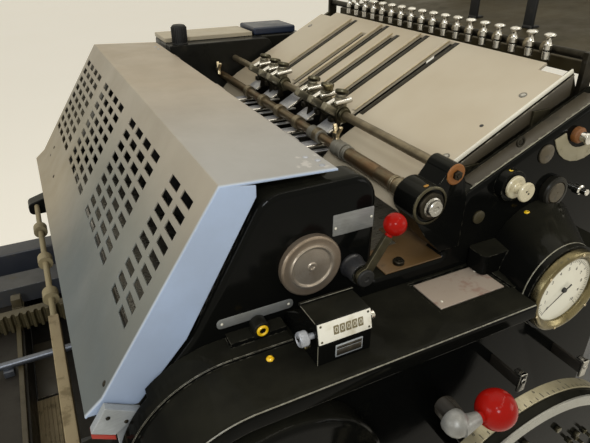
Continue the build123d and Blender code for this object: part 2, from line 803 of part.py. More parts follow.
def gauge_dial():
    """Dial set back inside the bezel."""
    back = -BARREL_FRONT - SEAT
    return rod_y(GAUGE_X, GAUGE_Z, BEZEL_R - BEZEL_RIM - SEAT, back - DIAL_T, back)


PARTS["control_case"] = control_case()
PARTS["spec_plate"] = spec_plate()
PARTS["gear_cover"] = gear_cover()
PARTS["gauge_hood"] = gauge_hood()
PARTS["gauge_bezel"] = gauge_bezel()
PARTS["gauge_dial"] = gauge_dial()


# Control drum and lever

DRUM_Z = up(-DRUM_DROP)
DRUM_FRONT = DRUM_BACK + DRUM_BAND + DRUM_GROOVE_W + DRUM_RING_T
LEVER_Y1 = -DRUM_BACK + LEVER_CLEAR + LEVER_T
LEVER_Y0 = LEVER_Y1 - LEVER_T


def control_drum():
    """Dished drum on a fixed shaft that stands out from the case."""
    body = rod_y(DRUM_X, DRUM_Z, DRUM_R - DRUM_GROOVE, -DRUM_FRONT + DRUM_RING_T, -DRUM_BACK)
    dish = rod_y(DRUM_X, DRUM_Z, DRUM_RING_IN, -DRUM_FRONT, -DRUM_FRONT + DRUM_DISH)
    shaft = rod_y(DRUM_X, DRUM_Z, DRUM_SHAFT_R, -DRUM_FRONT + DRUM_DISH, CASE_FRONT - SEAT)
    return body - dish + shaft


def drum_bands():
    """Steel scale band round the rim and steel ring on the front."""
    inner = DRUM_R - DRUM_GROOVE + SEAT
    band = rod_y(DRUM_X, DRUM_Z, DRUM_R, -DRUM_BACK - DRUM_BAND, -DRUM_BACK)
    band = band - rod_y(DRUM_X, DRUM_Z, inner, -DRUM_BACK - DRUM_BAND, -DRUM_BACK)
    ring = rod_y(DRUM_X, DRUM_Z, DRUM_R, -DRUM_FRONT, -DRUM_FRONT + DRUM_RING_T - SEAT)
    ring = ring - rod_y(DRUM_X, DRUM_Z, DRUM_RING_IN, -DRUM_FRONT, -DRUM_FRONT + DRUM_RING_T)
    return Compound([band, ring])


def lever_point(radius, angle=LEVER_ANGLE):
    """Place in X and Z on the lever's line."""
    turn = math.radians(angle)
    return DRUM_X + radius * math.cos(turn), DRUM_Z + radius * math.sin(turn)


def control_lever():
    """Arm behind the drum with a round head across its end."""
    hub = rod_y(DRUM_X, DRUM_Z, LEVER_HUB_R, LEVER_Y0, LEVER_Y1)
    arm = Box(LEVER_REACH, LEVER_T, LEVER_W, align=(Align.MIN, Align.MIN, Align.CENTER))
    arm = Pos(DRUM_X, LEVER_Y0, DRUM_Z) * Rot(0, -LEVER_ANGLE, 0) * arm
    x, z = lever_point(LEVER_REACH)
    head = rod_x(HEAD_Y, z, HEAD_R, x - HEAD_L / 2, x + HEAD_L / 2)
    stem = rod_y(x, z, HEAD_R, HEAD_Y, LEVER_Y1)
    whole = fuse([hub, arm, stem, head])
    return whole - rod_y(DRUM_X, DRUM_Z, DRUM_SHAFT_R + RUN, LEVER_Y0, LEVER_Y1)


def control_ball():
    """Ball on the head of the control lever."""
    x, z = lever_point(LEVER_REACH)
    end = x + HEAD_L / 2 + SEAT
    neck = rod_x(HEAD_Y, z, BALL_NECK_R, end, end + BALL_NECK_L + BALL_R)
    return neck + Pos(end + BALL_NECK_L + 0.95 * BALL_R, HEAD_Y, z) * Sphere(BALL_R)


HEAD_Y = LEVER_Y0 - HEAD_R - HEAD_OUT
PARTS["control_drum"] = control_drum()
PARTS["drum_bands"] = drum_bands()
PARTS["control_lever"] = control_lever()
PARTS["control_ball"] = control_ball()


# Counter

FACE_TOP = up(-COUNTER_TOP)


def counter_box():
    """Counter housing on the shelf, with a leaning face."""
    z0 = SHELF_Z + SEAT
    z1 = FACE_TOP
    lean = -COUNTER_FRONT + COUNTER_LEAN
    side = [(-COUNTER_FRONT, z0), (-COUNTER_FRONT, z1 - COUNTER_FACE_H), (lean, z1), (-COUNTER_BACK, z1)]
    side += [(-COUNTER_BACK, z1 - 14), (CASE_BACK, z0 + 18), (CASE_BACK, z0)]
    plane = Plane(origin=(COUNTER_X0, 0, 0), x_dir=(0, 1, 0), z_dir=(1, 0, 0))
    box = extrude(plane * make_face(Polyline(*side, close=True)), COUNTER_X1 - COUNTER_X0)
    return box - rod_x(-RESET_Y, up(-RESET_DROP), RESET_SHAFT_R + RUN, COUNTER_X0, COUNTER_X0 + RESET_BORE)


def counter_face():
    """White face plate on the leaning front."""
    z1 = FACE_TOP
    lean = Vector(COUNTER_LEAN, COUNTER_FACE_H).normalized()
    out = Vector(-lean.Y, lean.X)
    low = Vector(-COUNTER_FRONT, z1 - COUNTER_FACE_H) + out * SEAT + lean
    high = low + lean * (math.hypot(COUNTER_LEAN, COUNTER_FACE_H) - 2)
    corners = [low, high, high + out * COUNTER_FACE_T, low + out * COUNTER_FACE_T]
    plane = Plane(origin=(COUNTER_X0 + 1, 0, 0), x_dir=(0, 1, 0), z_dir=(1, 0, 0))
    face = plane * make_face(Polyline(*[(c.X, c.Y) for c in corners], close=True))
    return extrude(face, COUNTER_X1 - COUNTER_X0 - 2)


def counter_reset_knob():
    """Reset knob on its shaft at the left of the counter."""
    z = up(-RESET_DROP)
    shaft = rod_x(-RESET_Y, z, RESET_SHAFT_R, COUNTER_X0 - RESET_GAP, COUNTER_X0 + RESET_BORE - RUN)
    start = COUNTER_X0 - RESET_GAP
    return shaft + rod_x(-RESET_Y, z, RESET_R, start - RESET_T, start)


PARTS["counter_box"] = counter_box()
PARTS["counter_face"] = counter_face()
PARTS["counter_reset_knob"] = counter_reset_knob()


# Stop lever and adjusting knob

STOP_Z = up(-STOP_DROP)


def stop_boss():
    """Round boss on the side frame with a pin for the stop lever."""
    front = CASE_BACK - STOP_BOSS_L
    boss = rod_y(STOP_X, STOP_Z, STOP_BOSS_R, front, -FRAME_FACE)
    pin = rod_y(STOP_X, STOP_Z, STOP_PIN_R, front - STOP_ARM_T - SEAT, front)
    return boss + pin


def stop_point():
    """Place in X and Z of the stop lever's ball."""
    turn = math.radians(STOP_ANGLE)
    return STOP_X + STOP_LENGTH * math.cos(turn), STOP_Z + STOP_LENGTH * math.sin(turn)


STOP_Y1 = CASE_BACK - STOP_BOSS_L - RUN
STOP_Y0 = STOP_Y1 - STOP_ARM_T


def stop_lever():
    """Flat arm that turns on the pin of its boss."""
    hub = rod_y(STOP_X, STOP_Z, STOP_BOSS_R - 1, STOP_Y0, STOP_Y1)
    reach = STOP_LENGTH - STOP_BALL_R - STOP_BALL_OUT - SEAT
    arm = Box(reach, STOP_ARM_T, STOP_ARM_W, align=(Align.MIN, Align.MIN, Align.CENTER))
    arm = Pos(STOP_X, STOP_Y0, STOP_Z) * Rot(0, -STOP_ANGLE, 0) * arm
    return hub + arm - rod_y(STOP_X, STOP_Z, STOP_PIN_R + RUN, STOP_Y0, STOP_Y1)


def stop_lever_ball():
    """Small ball whose neck stands on the end of the stop lever's arm."""
    x, z = stop_point()
    middle = (STOP_Y0 + STOP_Y1) / 2
    neck_end = (Align.CENTER, Align.CENTER, Align.MIN)
    neck = Cylinder(STOP_PIN_R, STOP_BALL_R + STOP_BALL_OUT, align=neck_end)
    return Pos(x, middle, z) * (Rot(0, 270 - STOP_ANGLE, 0) * neck + Sphere(STOP_BALL_R))


ADJUST_Z = up(ADJUST_RISE)


def adjusting_boss():
    """Black boss on the side frame behind the adjusting knob."""
    return rod_y(ADJUST_X, ADJUST_Z, ADJUST_BOSS_R, CASE_BACK - ADJUST_BOSS_L, -FRAME_FACE)


def adjusting_bore():
    """Hole in the boss for the adjusting knob's shaft."""
    y0 = CASE_BACK - ADJUST_BOSS_L
    return rod_y(ADJUST_X, ADJUST_Z, ADJUST_NECK_R + RUN, y0, y0 + ADJUST_BORE)


def adjusting_knob():
    """Turned knob with two discs on one neck."""
    y = CASE_BACK - ADJUST_BOSS_L - RUN
    y1 = y - ADJUST_DISC_T
    y2 = y1 - ADJUST_NECK_L
    disc = rod_y(ADJUST_X, ADJUST_Z, ADJUST_DISC_R, y1, y)
    neck = rod_y(ADJUST_X, ADJUST_Z, ADJUST_NECK_R, y2, y1)
    end = rod_y(ADJUST_X, ADJUST_Z, ADJUST_END_R, y2 - ADJUST_DISC_T, y2)
    shaft = rod_y(ADJUST_X, ADJUST_Z, ADJUST_NECK_R, y, y + ADJUST_BORE - RUN)
    return fuse([disc, neck, end, shaft])


PARTS["stop_lever"] = stop_lever()
PARTS["stop_lever_ball"] = stop_lever_ball()
PARTS["side_frame_operator"] = operator_frame()
PARTS["adjusting_knob"] = adjusting_knob()


# Sheet table

def lay_line(offset):
    """Lay plate's profile, moved down by offset at right angles to each run."""
    points = [Vector(x, up(rise)) for x, rise in LAY_POINTS]
    moved = []
    for number, point in enumerate(points):
        before = points[max(number - 1, 0)]
        after = points[min(number + 1, len(points) - 1)]
        along = (after - before).normalized()
        moved.append(point + Vector(along.Y, -along.X) * offset)
    return [(point.X, point.Y) for point in moved]


def lay_plate():
    """Sheet table bent down at its lower end, with slots for the tapes."""
    plate = slab(lay_line(0) + lay_line(LAY_T)[::-1], -LAY_OPERATOR, LAY_DRIVE)
    x0 = LAY_POINTS[0][0] + SLOT_START
    over = up(2 * LAY_POINTS[-1][1])
    cuts = [block(x0, x1, y - SLOT_W / 2, y + SLOT_W / 2, up(0), over) for y, x1 in zip(SLOT_YS, SLOT_ENDS)]
    cuts.append(block(LAY_POINTS[0][0] - LAY_T, NOTCH_X, NOTCH_Y0, NOTCH_Y1, up(0), over))
    end = LAY_POINTS[-1][0] + LAY_T
    cuts.append(block(LAY_CORNER_X, end, -LAY_OPERATOR, -LAY_OPERATOR + LAY_CORNER_W, up(0), over))
    cuts.append(block(LAY_CORNER_X, end, LAY_DRIVE - LAY_CORNER_W, LAY_DRIVE, up(0), over))
    return plate - cuts


def lay_cheek(edge):
    """Cheek under the lay plate's edge, with two feet against the side frame."""
    profile = lay_line(LAY_T + SEAT)[2:] + lay_line(CHEEK_H)[2:][::-1]
    cheek = slab(profile, -edge, -edge + CHEEK_T)
    (x0, rise0), (x1, rise1) = LAY_POINTS[-2:]
    pieces = [cheek]
    for x in CHEEK_FOOT_XS:
        z1 = up(rise0) + (x - x0) * (rise1 - rise0) / (x1 - x0) - LAY_T - SEAT
        foot_end = x + CHEEK_FOOT_W
        pieces.append(block(x, foot_end, -FRAME_IN + SEAT, -edge + CHEEK_T, z1 - CHEEK_FOOT_H, z1 - CHEEK_T))
    return fuse(pieces)


def guide_rod(x, rise, radius, out):
    """Rod over the table from a bracket on the operator's frame to the drive side's wall."""
    return rod_y(x, up(rise), radius, -FRAME_FACE - out, FRAME_IN - SEAT)


PARTS["lay_plate"] = lay_plate()
PARTS["lay_cheeks"] = Compound([lay_cheek(LAY_OPERATOR), mirror_y(lay_cheek(LAY_DRIVE))])
PARTS["guide_rod_front"] = guide_rod(ROD_FRONT_X, ROD_FRONT_RISE, ROD_FRONT_R, ROD_OUT)
PARTS["guide_rod_rear"] = guide_rod(ROD_REAR_X, ROD_REAR_RISE, ROD_REAR_R, REAR_ROD_OUT)


def rod_eye(x, rise, radius):
    """Round eye that reaches back over the side frame."""
    return rod_y(x, up(rise), radius, -FRAME_FACE - BRACKET_OUT, -FRAME_IN)


def rod_brackets():
    """Casting on the operator's side frame with the eyes of both guide rods, thick beside the frame."""
    outline = [(x, up(rise)) for x, rise in CASTING_LOW + CASTING_HIGH]
    plate = slab(outline, -FRAME_FACE - BRACKET_T, CASE_BACK)
    beyond = block(RIB_X1, TABLE_FRAME_X, CASE_BACK, -FRAME_IN, up(-DIP_DROP), up(2 * ROD_REAR_RISE))
    rib = slab(outline, CASE_BACK, -FRAME_IN) - beyond
    eyes = [rod_eye(ROD_FRONT_X, ROD_FRONT_RISE, BRACKET_R), rod_eye(ROD_REAR_X, ROD_REAR_RISE, REAR_BRACKET_R)]
    rods = [(ROD_FRONT_X, ROD_FRONT_RISE, ROD_FRONT_R), (ROD_REAR_X, ROD_REAR_RISE, ROD_REAR_R)]
    return fuse([plate, rib] + eyes) - [rod_eye(x, rise, radius + SEAT) for x, rise, radius in rods]


def guide_clamps():
    """Split collars on the rear rod with a tongue over the table."""
    z = up(ROD_REAR_RISE)
    outer = ROD_REAR_R + CLAMP_WALL
    collars = []
    for y in CLAMP_YS:
        collar = rod_y(ROD_REAR_X, z, outer, y, y + CLAMP_W)
        screw = block(ROD_REAR_X - 4, ROD_REAR_X + 4, y + 5, y + CLAMP_W - 5, z, z + outer + 14)
        collars.append(collar + screw - rod_y(ROD_REAR_X, z, ROD_REAR_R + SEAT, y, y + CLAMP_W))
    return Compound(collars)


def gripper_fingers():
    """Row of flat sheet fingers that hang from collars on the front rod, each with one edge folded down."""
    z = up(ROD_FRONT_RISE)
    outer = ROD_FRONT_R + CLAMP_WALL
    top = z - outer + FINGER_T / 2
    fingers = []
    for number in range(FINGER_COUNT):
        y = FINGER_Y0 + number * FINGER_PITCH
        y0 = y - FINGER_W / 2
        collar = rod_y(ROD_FRONT_X, z, outer, y - COLLAR_W / 2, y + COLLAR_W / 2)
        blade = block(FINGER_X0, FINGER_X1, y0, y0 + FINGER_W, top - FINGER_T, top)
        lip = block(FINGER_X0, FINGER_X1, y0, y0 + FINGER_T, top - FINGER_LIP, top)
        bore = rod_y(ROD_FRONT_X, z, ROD_FRONT_R + SEAT, y0, y0 + FINGER_W)
        fingers.append(fuse([collar, blade, lip]) - bore)
    return Compound(fingers)


KNOB_Z = up(KNOB_RISE)
SHAFT_X = KNOB_X + KNOB_BARREL_R + KNOB_SHAFT_R + SEAT


def knob_rail():
    """Shaft across the table on two posts inside the side frames; the row of knobs is held on it."""
    end = FRAME_IN - SEAT
    z = KNOB_Z + KNOB_SHAFT_UP
    x0 = SHAFT_X - POST_W / 2
    shaft = rod_y(SHAFT_X, z, KNOB_SHAFT_R, -end + POST_T + SEAT, end - POST_T - SEAT)
    post = block(x0, x0 + POST_W, -end, -end + POST_T, up(TABLE_FRAME_TOP - POST_W), z + KNOB_SHAFT_R)
    return Compound([shaft, post, mirror_y(post)])


def rail_knobs():
    """Turned knobs with mushroom caps in front of the shaft."""
    pitch = (KNOB_Y1 - KNOB_Y0) / (KNOB_COUNT - 1)
    profile = [
        (0, 0),
        (KNOB_BARREL_R, 0),
        (KNOB_BARREL_R, KNOB_BARREL_H),
        (KNOB_NECK_R, KNOB_BARREL_H),
        (KNOB_NECK_R, KNOB_H - KNOB_CAP_H),
        (KNOB_R, KNOB_H - KNOB_CAP_H / 2),
        (KNOB_R, KNOB_H - KNOB_CAP_H / 4),
        (KNOB_R / 2, KNOB_H),
        (0, KNOB_H),
    ]
    knob = revolve(Plane.XZ * make_face(Polyline(*profile, close=True)), Axis.Z)
    places = [KNOB_Y0 + number * pitch for number in range(KNOB_COUNT)]
    return Compound([Pos(KNOB_X, y, KNOB_Z) * knob for y in places])


PARTS["rod_brackets"] = rod_brackets()
PARTS["guide_clamps"] = guide_clamps()
PARTS["gripper_fingers"] = gripper_fingers()
PARTS["knob_rail"] = knob_rail()
PARTS["rail_knobs"] = rail_knobs()


# Main feed board and feeder

def board_line(x):
    """Height of the feed board's underside."""
    return up(BOARD_RISE0) - BOARD_T + (x - BOARD_X0) * (BOARD_RISE1 - BOARD_RISE0) / (BOARD_X1 - BOARD_X0)


def main_feed_board():
    """Board between the feeder and the sheet table."""
    half = FRAME_IN - SEAT
    bottom = [(BOARD_X1, board_line(BOARD_X1)), (BOARD_X0, board_line(BOARD_X0))]
    return slab([(BOARD_X0, up(BOARD_RISE0)), (BOARD_X1, up(BOARD_RISE1))] + bottom, -half, half)


def board_ledges():
    """Ledges inside the side frames on which the feed board lies."""
    x1 = TABLE_FRAME_X1
    top = [(LEDGE_X0, board_line(LEDGE_X0) - SEAT), (x1, board_line(x1) - SEAT)]
    bottom = [(x1, board_line(x1) - LEDGE_H), (LEDGE_X0, board_line(LEDGE_X0) - LEDGE_H)]
    ledge = slab(top + bottom, -FRAME_IN + SEAT, -FRAME_IN + LEDGE_T)
    return Compound([ledge, mirror_y(ledge)])


def feeder_frame():
    """Upright side frame of the feeder."""
    z0 = BASE_TOP + SEAT
    points = [
        (FEEDER_X0, z0),
        (FEEDER_X0, up(BOARD_RISE1) + 60),
        (FEEDER_HEAD_X0 - 60, FEEDER_TOP),
        (FEEDER_HEAD_X1 + 60, FEEDER_TOP),
        (FEEDER_X1 - 100, up(BOARD_RISE1)),
        (BASE_X1, z0),
    ]
    return slab(points, -FRAME_FACE, -FRAME_FACE + FEEDER_T, [0, 80, 60, 60, 120, 0])


def feeder_head():
    """Sheet separating head between the feeder frames."""
    end = FRAME_IN - SEAT
    z0 = FEEDER_TOP - FEEDER_HEAD_DROP
    z1 = z0 + FEEDER_HEAD_H
    corners = [(FEEDER_HEAD_X0, z0), (FEEDER_HEAD_X1, z0), (FEEDER_HEAD_X1, z1), (FEEDER_HEAD_X0, z1)]
    return slab(corners, -end, end, 20)


def pile_board():
    """Board for the pile, on two cross beams."""
    z0 = TIE_TOP + SEAT
    half = WALL_IN - PILE_GAP
    return block(PILE_X0, PILE_X1, -half, half, z0, z0 + PILE_T)


PARTS["main_feed_board"] = main_feed_board()
PARTS["board_ledges"] = board_ledges()
PARTS["feeder_frame_operator"] = feeder_frame()
PARTS["feeder_frame_drive"] = mirror_y(feeder_frame())
PARTS["feeder_head"] = feeder_head()
PARTS["pile_board"] = pile_board()


# Drive side

WALL_TOP = up(WALL_RISE)
WALL_X0 = HINGE_X + WALL_STEP
TOP_Y0 = FRAME_FACE + DRIVE_GAP


def drive_case():
    """Gear case on the drive side frame, with the frame's outline and height."""
    corners = [
        (EAR_HEEL_X, DRIVE_Z0),
        (EAR_HEEL_X, up(-EAR_HEEL_DROP)),
        (EAR_FLARE_X, up(-EAR_FLARE_DROP)),
        (EAR_X0, up(EAR_TOP)),
        (WALL_X0, up(EAR_TOP)),
        (WALL_X0, WALL_TOP),
        (DRIVE_X1, WALL_TOP),
        (DRIVE_X1, DRIVE_Z0),
    ]
    radii = [DRIVE_R, 2 * HEEL_R, EAR_FLARE_R, EAR_R, 0, 0, DRIVE_R / 2, DRIVE_R]
    return slab(corners, FRAME_FACE + SEAT, FRAME_FACE + DRIVE_OUT, radii)


BELT_Y0 = FRAME_FACE + DRIVE_OUT + SEAT


def belt_guard():
    """Flat guard over the belt between the gear case and the motor."""
    start = Vector(BELT_X0, BELT_Z0)
    end = Vector(MOTOR_X, MOTOR_Z)
    along = (end - start).normalized() * BELT_R
    across = Vector(-along.Y, along.X)
    corners = [start - along + across, end + along + across, end + along - across, start - along - across]
    return slab([(c.X, c.Y) for c in corners], BELT_Y0, BELT_Y0 + BELT_T, 0.95 * BELT_R)


def motor():
    """Motor on a foot beside the base, behind the belt guard."""
    y0 = FRAME_FACE + BASE_FLANGE_OUT + SEAT
    y1 = BELT_Y0 - SEAT
    body = rod_y(MOTOR_X, MOTOR_Z, MOTOR_R, y0, y1)
    foot = block(MOTOR_X - MOTOR_FOOT_W / 2, MOTOR_X + MOTOR_FOOT_W / 2, y0, y1, 0, MOTOR_Z)
    return body + foot


def drive_top_plate():
    """Flat plate on top of the gear case."""
    z0 = WALL_TOP + SEAT
    return block(WALL_X0, TOP_BOX_X1, TOP_Y0, FRAME_FACE + DRIVE_OUT, z0, z0 + TOP_BOX_H)


def drive_cap_knob():
    """Round cap standing on the drive side frame."""
    cap = Cylinder(CAP_KNOB_R, CAP_KNOB_H, align=(Align.CENTER, Align.CENTER, Align.MIN))
    return Pos(CAP_KNOB_X, FRAME_FACE - FRAME_T / 2, WALL_TOP + SEAT) * cap


def drive_housing():
    """Low housing on the gear case beside the plate."""
    z0 = WALL_TOP + SEAT
    return block(HOUSING_X0, HOUSING_X1, TOP_Y0, FRAME_FACE + DRIVE_OUT, z0, z0 + HOUSING_H)


PARTS["drive_case"] = drive_case()
PARTS["belt_guard"] = belt_guard()
PARTS["motor"] = motor()
PARTS["drive_top_plate"] = drive_top_plate()
PARTS["drive_cap_knob"] = drive_cap_knob()
PARTS["drive_housing"] = drive_housing()

press = Compound([shape for shape in PARTS.values()])
limits = press.bounding_box()
print("limits", limits)
middle = Pos(-(limits.min.X + limits.max.X) / 2, -(limits.min.Y + limits.max.Y) / 2, 0)

os.makedirs("parts", exist_ok=True)
for node, shape in PARTS.items():
    export_step(middle * shape, f"parts/{node}.step")
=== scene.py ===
from math import asin, cos, pi, radians, sin, tau

import bmesh
import bpy
from mathutils import Matrix, Vector


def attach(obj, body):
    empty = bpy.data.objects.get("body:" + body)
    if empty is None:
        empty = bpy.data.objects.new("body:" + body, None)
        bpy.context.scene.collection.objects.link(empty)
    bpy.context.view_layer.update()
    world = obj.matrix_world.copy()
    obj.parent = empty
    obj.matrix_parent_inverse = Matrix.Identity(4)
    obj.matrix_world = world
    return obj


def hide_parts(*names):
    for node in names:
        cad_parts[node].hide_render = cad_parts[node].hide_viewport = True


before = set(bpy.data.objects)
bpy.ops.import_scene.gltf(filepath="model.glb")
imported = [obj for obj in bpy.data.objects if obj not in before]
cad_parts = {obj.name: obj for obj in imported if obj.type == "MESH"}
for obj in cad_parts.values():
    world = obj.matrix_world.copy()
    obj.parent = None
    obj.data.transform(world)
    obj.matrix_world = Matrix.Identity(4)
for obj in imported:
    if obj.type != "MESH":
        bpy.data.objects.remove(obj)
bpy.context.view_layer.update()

scene = bpy.context.scene

# Lengths are millimetres in the press's own coordinates: X from the cylinder's axis towards the feeder,
# Y from the middle of the press, with the operator's side negative, and Z from the floor.
MIDDLE = Vector((165, -43.1, 0))
AXIS = 960
FACE = -455
METRES = Matrix.Scale(0.001, 4) @ Matrix.Translation(-MIDDLE)


def tone(red, green, blue):
    """Linear colour from the three numbers of a paint chart, 0 to 255."""
    shades = [c / 255 for c in (red, green, blue)]
    return tuple(c / 12.92 if c < 0.04 else ((c + 0.055) / 1.055) ** 2.4 for c in shades) + (1,)


# Finishes

class Finish:
    """A paint, plating or bare metal, or the surroundings, made of nodes on object coordinates."""

    def __init__(self, name, owner=None, shader="Principled BSDF"):
        self.owner = owner or bpy.data.materials.new(name)
        self.owner.use_nodes = True
        self.tree = self.owner.node_tree
        self.shader = self.tree.nodes[shader]

    def add(self, kind, **inputs):
        """New node with its inputs fed from numbers or from other nodes."""
        node = self.tree.nodes.new("ShaderNode" + kind)
        for socket, value in inputs.items():
            self.feed(node.inputs[socket.replace("_", " ")], value)
        return node

    def feed(self, socket, value):
        """Number or colour set on a socket, or a link into it."""
        if isinstance(value, bpy.types.NodeSocket):
            self.tree.links.new(value, socket)
        else:
            socket.default_value = value

    def mapped(self, centre=(0, 0, 0), stretch=(1, 1, 1)):
        """Object coordinates moved to a centre and stretched."""
        place = self.add("TexCoord").outputs["Object"]
        moved = self.add("Mapping", Vector=place, Location=[-c for c in METRES @ Vector(centre)])
        return self.add("Mapping", Vector=moved.outputs[0], Scale=stretch).outputs[0]

    def noise(self, size, detail=4, rough=0.55, vector=None):
        """Cloudy pattern whose spots are about size millimetres."""
        vector = vector or self.mapped()
        node = self.add("TexNoise", Vector=vector, Scale=1000 / size, Detail=detail, Roughness=rough)
        return node.outputs["Fac"]

    def span(self, value, low, high, start=0, end=1):
        """Value taken from low..high to start..end."""
        node = self.add("MapRange", Value=value, From_Min=low, From_Max=high, To_Min=start, To_Max=end)
        node.interpolation_type = "SMOOTHSTEP"
        return node.outputs[0]

    def sum(self, kind, first, second):
        """Two values joined by one operation."""
        node = self.add("Math")
        node.operation = kind
        self.feed(node.inputs[0], first)
        self.feed(node.inputs[1], second)
        return node.outputs[0]

    def mix(self, factor, first, second):
        """Two colours mixed by a factor, each the three numbers of a paint chart or a socket."""
        node = self.add("Mix")
        node.data_type = "RGBA"
        self.feed(node.inputs[0], factor)
        for socket, colour in ((6, first), (7, second)):
            self.feed(node.inputs[socket], tone(*colour) if isinstance(colour, tuple) else colour)
        return node.outputs[2]

    def edges(self, radius):
        """Mask of the sharp edges, with the rounded normal that it comes from."""
        soft = self.add("Bevel", Radius=radius / 1000)
        soft.samples = 6
        flat = self.add("NewGeometry").outputs["Normal"]
        turn = self.add("VectorMath")
        turn.operation = "DOT_PRODUCT"
        self.feed(turn.inputs[0], soft.outputs[0])
        self.feed(turn.inputs[1], flat)
        return self.span(turn.outputs["Value"], 0.97, 0.75), soft.outputs[0]

    def relief(self, height, depth, normal):
        """Bump of a given depth in millimetres."""
        return self.add("Bump", Height=height, Distance=depth / 1000, Strength=1, Normal=normal).outputs[0]

    def reach(self, centre):
        """Metres from a centre."""
        node = self.add("VectorMath", Vector=self.mapped(centre))
        node.operation = "LENGTH"
        return node.outputs["Value"]

    def rings(self, centre):
        """Turning marks, a millimetre wide or so, round an axis across the press."""
        parts = self.add("SeparateXYZ", Vector=self.mapped(centre)).outputs
        squares = [self.sum("MULTIPLY", parts[i], parts[i]) for i in (0, 2)]
        radius = self.sum("SQRT", self.sum("ADD", *squares), 0)
        node = self.add("TexNoise", Scale=1000 / 0.9, Detail=2)
        node.noise_dimensions = "1D"
        self.feed(node.inputs["W"], radius)
        return node.outputs["Fac"]

    def set(self, **inputs):
        """Sockets of the shader itself."""
        for socket, value in inputs.items():
            self.feed(self.shader.inputs[socket.replace("_", " ")], value)
        return self.owner


def painted(name, colour, cloud, rough, soil, edge_wear_and_highlight, coat=0, round=1.5, grain=0.02, soil_size=60, soil_from=0.56,
            gloss=1.5, dust=None, haze=0.22, zones=()):
    """Paint with uneven tone, soiled patches, edge wear and a fine skin, and dust on level faces; on the black enamel
    the light edge tone is also a painted highlight.
    """
    f = Finish(name)
    broad = f.noise(220, 3)
    patch = f.noise(soil_size, 6, 0.62)
    fine = f.noise(2.2, 3)
    edge_wear_and_highlight_mask, soft = f.edges(round)
    edge_wear_and_highlight_mask = f.sum("MULTIPLY", edge_wear_and_highlight_mask, f.span(f.noise(9, 5), 0.45, 0.62))
    tint = f.mix(f.span(broad, 0.35, 0.65), colour, cloud)
    for zone in zones:
        tint = zone(f, tint)
    if dust:
        level = f.add("SeparateXYZ", Vector=f.add("NewGeometry").outputs["Normal"]).outputs[2]
        film = f.sum("MULTIPLY", f.span(level, 0.6, 0.98), f.span(patch, 0.3, 0.7, 0.45, 0.9))
        tint = f.mix(film, tint, dust)
    dirt = f.span(patch, soil_from, soil_from + 0.16, 0, 0.75)
    tint = f.mix(dirt, tint, soil)
    tint = f.mix(edge_wear_and_highlight_mask, tint, edge_wear_and_highlight)
    dull = f.sum("ADD", f.span(patch, 0.3, 0.75, rough, rough + haze), f.sum("MULTIPLY", edge_wear_and_highlight_mask, 0.2))
    skin = f.sum("ADD", f.sum("MULTIPLY", fine, 0.35), f.noise(14, 2))
    return f.set(Base_Color=tint, Roughness=dull, Normal=f.relief(skin, grain, soft), Coat_Weight=coat,
                 Coat_Roughness=0.05, IOR=gloss)


def metal(name, colour, cloud, tarnish, tarnish_from, rough, spread=0.14, stretch=(1, 1, 1), rings=None, depth=0.02,
          metallic=1, zones=()):
    """Bare or plated metal with tool marks, uneven gloss and tarnish."""
    f = Finish(name)
    marks = f.rings(rings) if rings else f.noise(1.6, 3, 0.6, f.mapped(stretch=stretch))
    patch = f.noise(28, 5, 0.6)
    soft = f.edges(0.8)[1]
    tint = f.mix(f.span(patch, 0.35, 0.7), colour, cloud)
    for zone in zones:
        tint = zone(f, tint)
    spots = f.span(f.noise(11, 6, 0.65), tarnish_from, tarnish_from + 0.12, 0, 0.85)
    tint = f.mix(spots, tint, tarnish)
    metallic = f.sum("MULTIPLY", f.span(spots, 0, 1, 1, 0.35), metallic)
    tint = f.mix(f.span(marks, 0.3, 0.7, 0, 0.35), tint, [c * 0.6 for c in tone(*colour)])
    dull = f.sum("ADD", f.span(marks, 0.3, 0.7, rough, rough + spread), f.span(patch, 0.4, 0.8, 0, 0.12))
    return f.set(Base_Color=tint, Roughness=dull, Metallic=metallic, Normal=f.relief(marks, depth, soft))


# Guard tones for painted light and shade; GUARD_MID is the paint's own mid tone
GUARD_LOW_SHADE = (80, 88, 89)
GUARD_FAR_LIGHT = (150, 137, 112)
GUARD_MID = (132, 130, 116)
GUARD_HIGH_LIGHT = (158, 148, 130)
GUARD_NEAR_LIGHT = (160, 157, 150)
GUARD_TOP_LIGHT = (168, 154, 132)
GUARD_FOLD_HIGHLIGHT = (180, 188, 196)
GUARD_FLANGE_LIGHT = (165, 181, 205)


